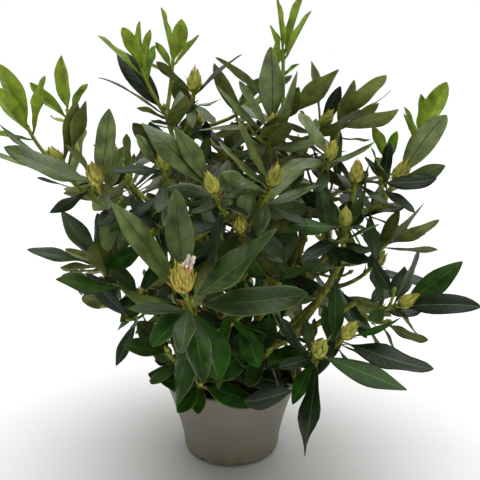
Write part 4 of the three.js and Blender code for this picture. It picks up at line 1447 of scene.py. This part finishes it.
def make_leaves(name, masses):
    """The mature leaves of some masses. Greens are dealt out by spray, by height and by how each leaf
    stands, as painted shade and painted sheen, and the oldest are olive.
    """
    leaf = settings().leaf
    tops = [leaf.fresh_and_shade, blended(leaf.fresh_and_shade, leaf.dark), leaf.dark, blended(leaf.dark, leaf.grey_and_sheen),
            leaf.grey_and_sheen, leaf.olive, leaf.deep_and_shade]
    unders = [leaf.under, leaf.pale_under, blended(leaf.under, leaf.olive)]
    plain = {"midrib": leaf.midrib, "stalk": leaf.stalk, "rim": leaf.rim, "midrib_dark": leaf.dark}
    materials = [leaf_finish(f"leaf_top_{index + 1}", tint, gloss=TOP_GLOSS[index])
                 for index, tint in enumerate(tops)]
    materials += [leaf_finish(f"leaf_underside_{index + 1}", tint, 0.62)
                  for index, tint in enumerate(unders)]
    midrib, stalk, rim, dark_midrib = range(len(materials), len(materials) + len(plain))
    materials += [leaf_finish("leaf_" + part, tint, veins=0) for part, tint in plain.items()]
    heap = Heap(materials)
    for twig in grown_plant()[1]:
        if twig.mass not in masses or twig.kind == "new":
            continue
        under = len(tops) + int(len(unders) * chance(twig.number, 0, 32))
        for item in twig.leaves:
            top = leaf_top(twig, item)
            own_midrib = dark_midrib if top in SHEENED_TOPS else midrib
            # A painted highlight along the blade's edge on low, broad and flower leaves.
            edge = rim if twig.kind in RIM_HIGHLIGHTED else top
            add_leaf(heap, item, (top, under, own_midrib, stalk, edge))
    settle(heap.build(name), name, "foliage", *["leaves_" + mass for mass in masses])


def make_new_growth():
    leaf = settings().leaf
    tops = [leaf.new, leaf.bright_new, blended(leaf.new, leaf.bright_new)]
    vein = blended(leaf.new_under, leaf.bright_new)
    materials = [leaf_finish(f"new_leaf_top_{index + 1}", tint, 0.5, gloss=NEW_GLOSS)
                 for index, tint in enumerate(tops)]
    materials += [leaf_finish("new_leaf_underside", leaf.new_under, 0.55, gloss=NEW_GLOSS),
                  leaf_finish("new_leaf_midrib", vein, 0.5, veins=0, gloss=NEW_GLOSS)]
    under, midrib = len(tops), len(tops) + 1
    heap = Heap(materials)
    for twig in grown_plant()[1]:
        if twig.kind == "new":
            for item in twig.leaves:
                top = int(len(tops) * chance(twig.number, item.index, 33))
                add_leaf(heap, item, (top, under, midrib, midrib, midrib))
    settle(heap.build("new_growth"), "new_growth", "foliage", *MASS_NODES)


# ---- buds ----

SCALE_SHELL = sheet_template([-1, -0.45, 0, 0.45, 1], [0, 0.3, 0.62, 0.86, 1])
SMALL_SCALE_SHELL = sheet_template([-1, 0, 1], [0, 0.5, 1])
BUD_OPENINGS = (0.12, 0.25, 0.4)  # how far the scales' tips of the end buds stand off
BUD_SCALES = 17
BUD_SIZES = (0.8, 1.08)
SMALL_BUD_RADIUS = 3
SMALL_BUD_HEIGHT = 9.5
SMALL_BUD_SCALES = 4
SMALL_BUD_OPENING = 0.15
DRY_SCALES = 6
GREEN_BRACTS = 4
DRY_LENGTH = (8, 17)
BRACT_LENGTH = (20, 34)
BRACT_SPREAD = (0.2, 0.55)
DRY_SPREAD = 0.5
BUD_FULLEST = 0.393  # what the outline's product comes to where a bud is widest


class BudShape:
    """An egg-shaped bud of overlapping pointed scales, standing on the origin along +Z, in
    millimetres. opening is how far the scales' tips bend away from the bud."""

    def __init__(self, radius, height, scales, opening, seed=0, is_small=False, slim=1.0):
        self.radius = radius
        self.height = height
        self.slim = slim
        self.points, self.faces, self.is_tip = [], [], []
        self.count = 0
        self.shell = SMALL_SCALE_SHELL if is_small else SCALE_SHELL
        self.add_core(tube_template(6, 3) if is_small else tube_template(8, 6))
        for index in range(scales):
            self.add_scale(index, scales, opening, seed)

    def outline(self, height):
        """Radius of the bud at each height: full below the middle, and drawn out to a point."""
        place = np.clip(height / self.height, 0.001, 1)
        return self.radius * place ** 0.5 * (1 - place) ** 0.95 / BUD_FULLEST

    def put(self, points, faces, is_tip):
        self.points.append(points)
        self.faces.append(faces + self.count)
        self.is_tip.append(is_tip)
        self.count += len(points)

    def add_core(self, core):
        height = self.height * (0.02 + 0.94 * core.measures["place"])
        radius = 0.93 * self.outline(height) * core.measures["width"]
        angle = core.measures["angle"]
        points = np.column_stack([radius * np.cos(angle), radius * np.sin(angle), height])
        self.put(points, core.faces, np.zeros(len(core.faces), bool))

    def add_scale(self, index, scales, opening, seed):
        across, place, side = (self.shell.measures[name] for name in ("across", "place", "side"))
        order = index / scales
        start = self.height * mix(-0.04, 0.42, order)
        length = self.height * mix(0.4, 0.66, order) * mix(0.85, 1.15, chance(seed, index, 40))
        height = start + length * place
        narrowing = np.clip(1 - place ** 1.6, 0.03, 1) ** 0.8
        width = self.slim * self.radius * mix(0.8, 0.6, order) * narrowing
        lift = opening * mix(0.3, 1.5, chance(seed, index, 41)) * place ** 2.5
        surface = np.maximum(self.outline(height), 0.12 * self.radius)
        out = surface * 1.02 + self.radius * (0.05 + 0.05 * (1 - order)) + lift * self.radius
        out += 0.25 * side
        turn = across * width / np.maximum(out, 0.35 * self.radius)
        angle = math.radians(GOLDEN_ANGLE * index) + turn
        points = np.column_stack([out * np.cos(angle), out * np.sin(angle), height])
        self.put(points, self.shell.faces, self.shell.face_mean("place") > 0.72)

    def arrays(self):
        return np.vstack(self.points), np.vstack(self.faces), np.concatenate(self.is_tip)


def stand(points, place, aim, spin, size=1.0):
    """Points that stand along +Z on the origin, put on a place to stand along aim."""
    turn = UP.rotation_difference(aim) @ Quaternion(UP, spin)
    return (points * size) @ np.array(turn.to_matrix()).T + np.array(place)


def bud_finish(name, base_colour):
    finish = Finish(name, base_colour, 0.55, 0.35)
    return add_mottle(finish, scale=1200.0, dullest=0.65, shiniest=0.45, relief=0.0003)


def make_buds():
    bud = settings().bud
    tints = [bud.scale, bud.green_scale, blended(bud.scale, bud.green_scale)]
    materials = [bud_finish(f"bud_scale_{index + 1}", tint) for index, tint in enumerate(tints)]
    materials += [bud_finish("bud_tip", bud.tip),
                  bud_finish("bud_tip_green", blended(bud.tip, bud.scale, 0.6))]
    heap = Heap(materials)
    radius, half = KINDS["bud"]["bud"]
    large = [BudShape(radius, 2 * half, BUD_SCALES, opening, seed).arrays()
             for seed, opening in enumerate(BUD_OPENINGS)]
    small = BudShape(SMALL_BUD_RADIUS, SMALL_BUD_HEIGHT, SMALL_BUD_SCALES, SMALL_BUD_OPENING,
                     is_small=True).arrays()
    green = 1
    for twig in grown_plant()[1]:
        if twig.kind == "flower":
            continue
        own_radius, own_half = KINDS[twig.kind]["bud"]
        if twig.kind == "bud":
            points, faces, is_tip = large[int(len(large) * chance(twig.number, 0, 42))]
            size = mix(*BUD_SIZES, chance(twig.number, 0, 43))
            tint = int(len(tints) * chance(twig.number, 0, 45))
            tip = len(tints) + int(2 * chance(twig.number, 0, 46))
        else:
            points, faces, is_tip = small
            size = own_radius / SMALL_BUD_RADIUS
            tint = green
            tip = green
        root = twig.tip - twig.aim * (0.25 * own_half)
        placed = stand(points, root, twig.aim, FULL_TURN * chance(twig.number, 0, 44), size)
        heap.add(placed, faces, np.where(is_tip, tip, tint))
    settle(heap.build("buds"), "buds", "foliage", *MASS_NODES)


PETAL_SHELL = sheet_template([-1, -0.6, -0.2, 0.2, 0.6, 1], [0, 0.2, 0.45, 0.7, 0.9, 1])
FLOWER_SCALES = 60
PETALS = 8
PETAL_LENGTH = (18, 27)
PETAL_HALF = 4.6
PETAL_LEAN = Vector((0.5, -0.1, 0.5))


def petal_points(length, width, bend, phase):
    """A crumpled petal that stands along +Z and bends towards +X, in millimetres."""
    across, place, side = (PETAL_SHELL.measures[name] for name in ("across", "place", "side"))
    half = width * np.sqrt(np.clip(place * 1.15, 0.03, 1)) * np.where(place > 0.9, 0.8, 1)
    crumple = 0.9 * np.sin(5 * across + phase) * place + 0.8 * np.sin(9 * place + phase)
    cup = 0.35 * width * across ** 2
    out = bend * place ** 2 - cup + crumple + 0.2 * side
    return np.column_stack([out, across * half, length * place])


def make_flower_bud():
    """The large bud that has begun to open, with its first petals showing."""
    bud = settings().bud
    materials = [bud_finish("flower_scale", bud.opening),
                 bud_finish("flower_scale_tip", blended(bud.scale, bud.opening)),
                 bud_finish("petal", bud.petal), bud_finish("petal_edge", bud.pale_petal)]
    heap = Heap(materials)
    twig = next(item for item in grown_plant()[1] if item.kind == "flower")
    radius, half = KINDS["flower"]["bud"]
    shape = BudShape(0.73 * radius, 2.1 * half, FLOWER_SCALES, opening=0.4, seed=5, slim=0.5)
    points, faces, is_tip = shape.arrays()
    root = twig.tip + twig.aim * 5
    heap.add(stand(points, root, twig.aim, 0), faces, np.where(is_tip, 1, 0))
    edge = PETAL_SHELL.face_mean("place") > 0.7
    foot = root + twig.aim * (1.05 * half) + Vector((5, -3, 0))
    for index in range(PETALS):
        length = mix(*PETAL_LENGTH, chance(index, 1, 50))
        petal = petal_points(length, PETAL_HALF, mix(1, 5, chance(index, 2, 50)), index)
        lean = (twig.aim + PETAL_LEAN * mix(0.3, 0.9, chance(index, 3, 50))).normalized()
        heap.add(stand(petal, foot, lean, 1.05 * index), PETAL_SHELL.faces, np.where(edge, 3, 2))
    settle(heap.build("flower_bud"), "flower_bud", "foliage", "leaves_front")


def make_bracts():
    """Narrow scales under the whorls: dry ones that still cling, and green ones round the buds."""
    bud = settings().bud
    heap = Heap([bud_finish("dry_scale", bud.dry), bud_finish("green_bract", bud.bract)])
    across, place, side = (SCALE_SHELL.measures[name] for name in ("across", "place", "side"))
    for twig in grown_plant()[1]:
        if twig.kind == "new" or twig.kind in FINE_KINDS:
            continue
        has_bracts = twig.kind in ("bud", "flower")
        for index in range(DRY_SCALES + (GREEN_BRACTS if has_bracts else 0)):
            is_green = index >= DRY_SCALES
            angle = math.radians(GOLDEN_ANGLE * index + 360 * chance(twig.number, index, 60))
            luck = chance(twig.number, index, 61)
            length = mix(*BRACT_LENGTH, luck) if is_green else mix(*DRY_LENGTH, luck)
            spread = mix(*BRACT_SPREAD, chance(twig.number, index, 62)) if is_green else DRY_SPREAD
            half = 1.3 * np.sqrt(np.clip(1 - place ** 1.6, 0.01, 1))
            out = MAIN_TWIG_RADII[1] + 0.4 + length * spread * place ** 1.6 + 0.15 * side
            out += 0.06 * length * np.sin(math.pi * place)
            height = length * (place - spread * place ** 2)
            shape = np.column_stack([out, across * half, height])
            low = -3 if is_green else -8 - 3 * index
            flat = stand(shape, Vector((0, 0, low)), UP, angle)
            heap.add(stand(flat, twig.tip, twig.path.along(0.8), 0), SCALE_SHELL.faces, int(is_green))
    settle(heap.build("bracts"), "bracts", "bark", *MASS_NODES)


# ---- stage ----

CAMERA_PLACE = (0.011, -0.769, 0.462)  # in metres
CAMERA_PITCH = 13.8
CAMERA_LENS = 48.75
FLOOR_SIZE = 60
KEY_TILT = -18  # the key light comes a little from behind the viewer's back
KEY_LEAN = 2
KEY_SPREAD = 85


def make_stage():
    stage = settings().stage
    scene = bpy.context.scene
    deselect()
    bpy.ops.mesh.primitive_plane_add(size=FLOOR_SIZE, location=(0, 0, 0))
    floor = bpy.context.object
    floor.name = floor.data.name = "floor"
    floor.data.materials.append(Finish("floor", stage.floor, 0.9, 0.0).material)

    bpy.ops.object.camera_add(location=CAMERA_PLACE, rotation=(math.radians(90 - CAMERA_PITCH), 0, 0))
    camera = bpy.context.object
    camera.data.lens = CAMERA_LENS
    scene.camera = camera

    bpy.ops.object.light_add(type="SUN", location=(0, 0, 2),
                             rotation=(math.radians(KEY_TILT), math.radians(KEY_LEAN), 0))
    key = bpy.context.object
    key.data.angle = math.radians(KEY_SPREAD)
    key.data.energy = stage.key

    world = bpy.data.worlds.new("studio")
    scene.world = world
    world.use_nodes = True
    nodes, links = world.node_tree.nodes, world.node_tree.links
    background = nodes["Background"]
    background.inputs["Color"].default_value = (1, 1, 1, 1)
    sight = nodes.new("ShaderNodeLightPath")
    strength = nodes.new("ShaderNodeMapRange")
    strength.inputs["To Min"].default_value = stage.surround
    strength.inputs["To Max"].default_value = 1.0
    links.new(sight.outputs["Is Camera Ray"], strength.inputs["Value"])
    links.new(strength.outputs["Result"], background.inputs["Strength"])
    scene.view_settings.view_transform = "Standard"


# ---- operators, panel and registration ----

CROWN_PARTS = {
    "foliage_left": [spec["name"] for spec in FRONT_LIMBS if spec["tip"][0] < 0],
    "foliage_right": [spec["name"] for spec in FRONT_LIMBS if spec["tip"][0] >= 0],
    "foliage_back": [spec["name"] for spec in back_limbs()],
}


class Settings(bpy.types.PropertyGroup):
    pot: PointerProperty(type=PotSettings)
    wood: PointerProperty(type=WoodSettings)
    leaf: PointerProperty(type=LeafSettings)
    bud: PointerProperty(type=BudSettings)
    stage: PointerProperty(type=StageSettings)


class RHODODENDRON_OT_add_stage(bpy.types.Operator):
    """Add the floor, the lights and the camera"""
    bl_idname = "rhododendron.add_stage"
    bl_label = "Stage"

    def execute(self, context):
        make_stage()
        return {"FINISHED"}


class RHODODENDRON_OT_add_pot(bpy.types.Operator):
    """Add the flared nursery pot with its rolled rim and drain notches"""
    bl_idname = "rhododendron.add_pot"
    bl_label = "Pot"

    def execute(self, context):
        make_pot()
        return {"FINISHED"}


class RHODODENDRON_OT_add_soil(bpy.types.Operator):
    """Add the soil, its crumbs and its bark chips"""
    bl_idname = "rhododendron.add_soil"
    bl_label = "Soil"

    def execute(self, context):
        make_soil()
        make_crumbs()
        return {"FINISHED"}


class RHODODENDRON_OT_add_wood(bpy.types.Operator):
    """Add the trunk and boughs with their bark, and the twigs"""
    bl_idname = "rhododendron.add_wood"
    bl_label = "Wood"

    def execute(self, context):
        make_wood()
        make_twigs()
        return {"FINISHED"}


class RHODODENDRON_OT_add_leaves(bpy.types.Operator):
    """Add the mature leaves of the crown"""
    bl_idname = "rhododendron.add_leaves"
    bl_label = "Leaves"

    def execute(self, context):
        for name, masses in CROWN_PARTS.items():
            make_leaves(name, masses)
        return {"FINISHED"}


class RHODODENDRON_OT_add_new_growth(bpy.types.Operator):
    """Add the pale leaves of this year's shoots"""
    bl_idname = "rhododendron.add_new_growth"
    bl_label = "New Growth"

    def execute(self, context):
        make_new_growth()
        return {"FINISHED"}


class RHODODENDRON_OT_add_buds(bpy.types.Operator):
    """Add the end buds, the opening flower bud and the bracts round them"""
    bl_idname = "rhododendron.add_buds"
    bl_label = "Buds"

    def execute(self, context):
        make_buds()
        make_flower_bud()
        make_bracts()
        return {"FINISHED"}


OPERATORS = (RHODODENDRON_OT_add_stage, RHODODENDRON_OT_add_pot, RHODODENDRON_OT_add_soil,
             RHODODENDRON_OT_add_wood, RHODODENDRON_OT_add_leaves, RHODODENDRON_OT_add_new_growth,
             RHODODENDRON_OT_add_buds)


class RHODODENDRON_PT_sidebar(bpy.types.Panel):
    """Lists the settings and pieces of the potted rhododendron"""
    bl_label = "Potted Rhododendron"
    bl_space_type = "VIEW_3D"
    bl_region_type = "UI"
    bl_category = "Rhododendron"

    def draw(self, context):
        for group_name in ("pot", "wood", "leaf", "bud", "stage"):
            group = getattr(context.scene.rhododendron, group_name)
            box = self.layout.box()
            box.label(text=group_name.capitalize())
            for field in group.__annotations__:
                box.prop(group, field)
        for operator in OPERATORS:
            self.layout.operator(operator.bl_idname)


CLASSES = (PotSettings, WoodSettings, LeafSettings, BudSettings, StageSettings, Settings,
           *OPERATORS, RHODODENDRON_PT_sidebar)


def register():
    for item in CLASSES:
        bpy.utils.register_class(item)
    bpy.types.Scene.rhododendron = PointerProperty(type=Settings)


def unregister():
    del bpy.types.Scene.rhododendron
    for item in reversed(CLASSES):
        bpy.utils.unregister_class(item)


def main():
    register()
    bpy.ops.rhododendron.add_stage()
    bpy.ops.rhododendron.add_pot()
    bpy.ops.rhododendron.add_soil()
    bpy.ops.rhododendron.add_wood()
    bpy.ops.rhododendron.add_leaves()
    bpy.ops.rhododendron.add_new_growth()
    bpy.ops.rhododendron.add_buds()


if __name__ == "__main__":
    main()
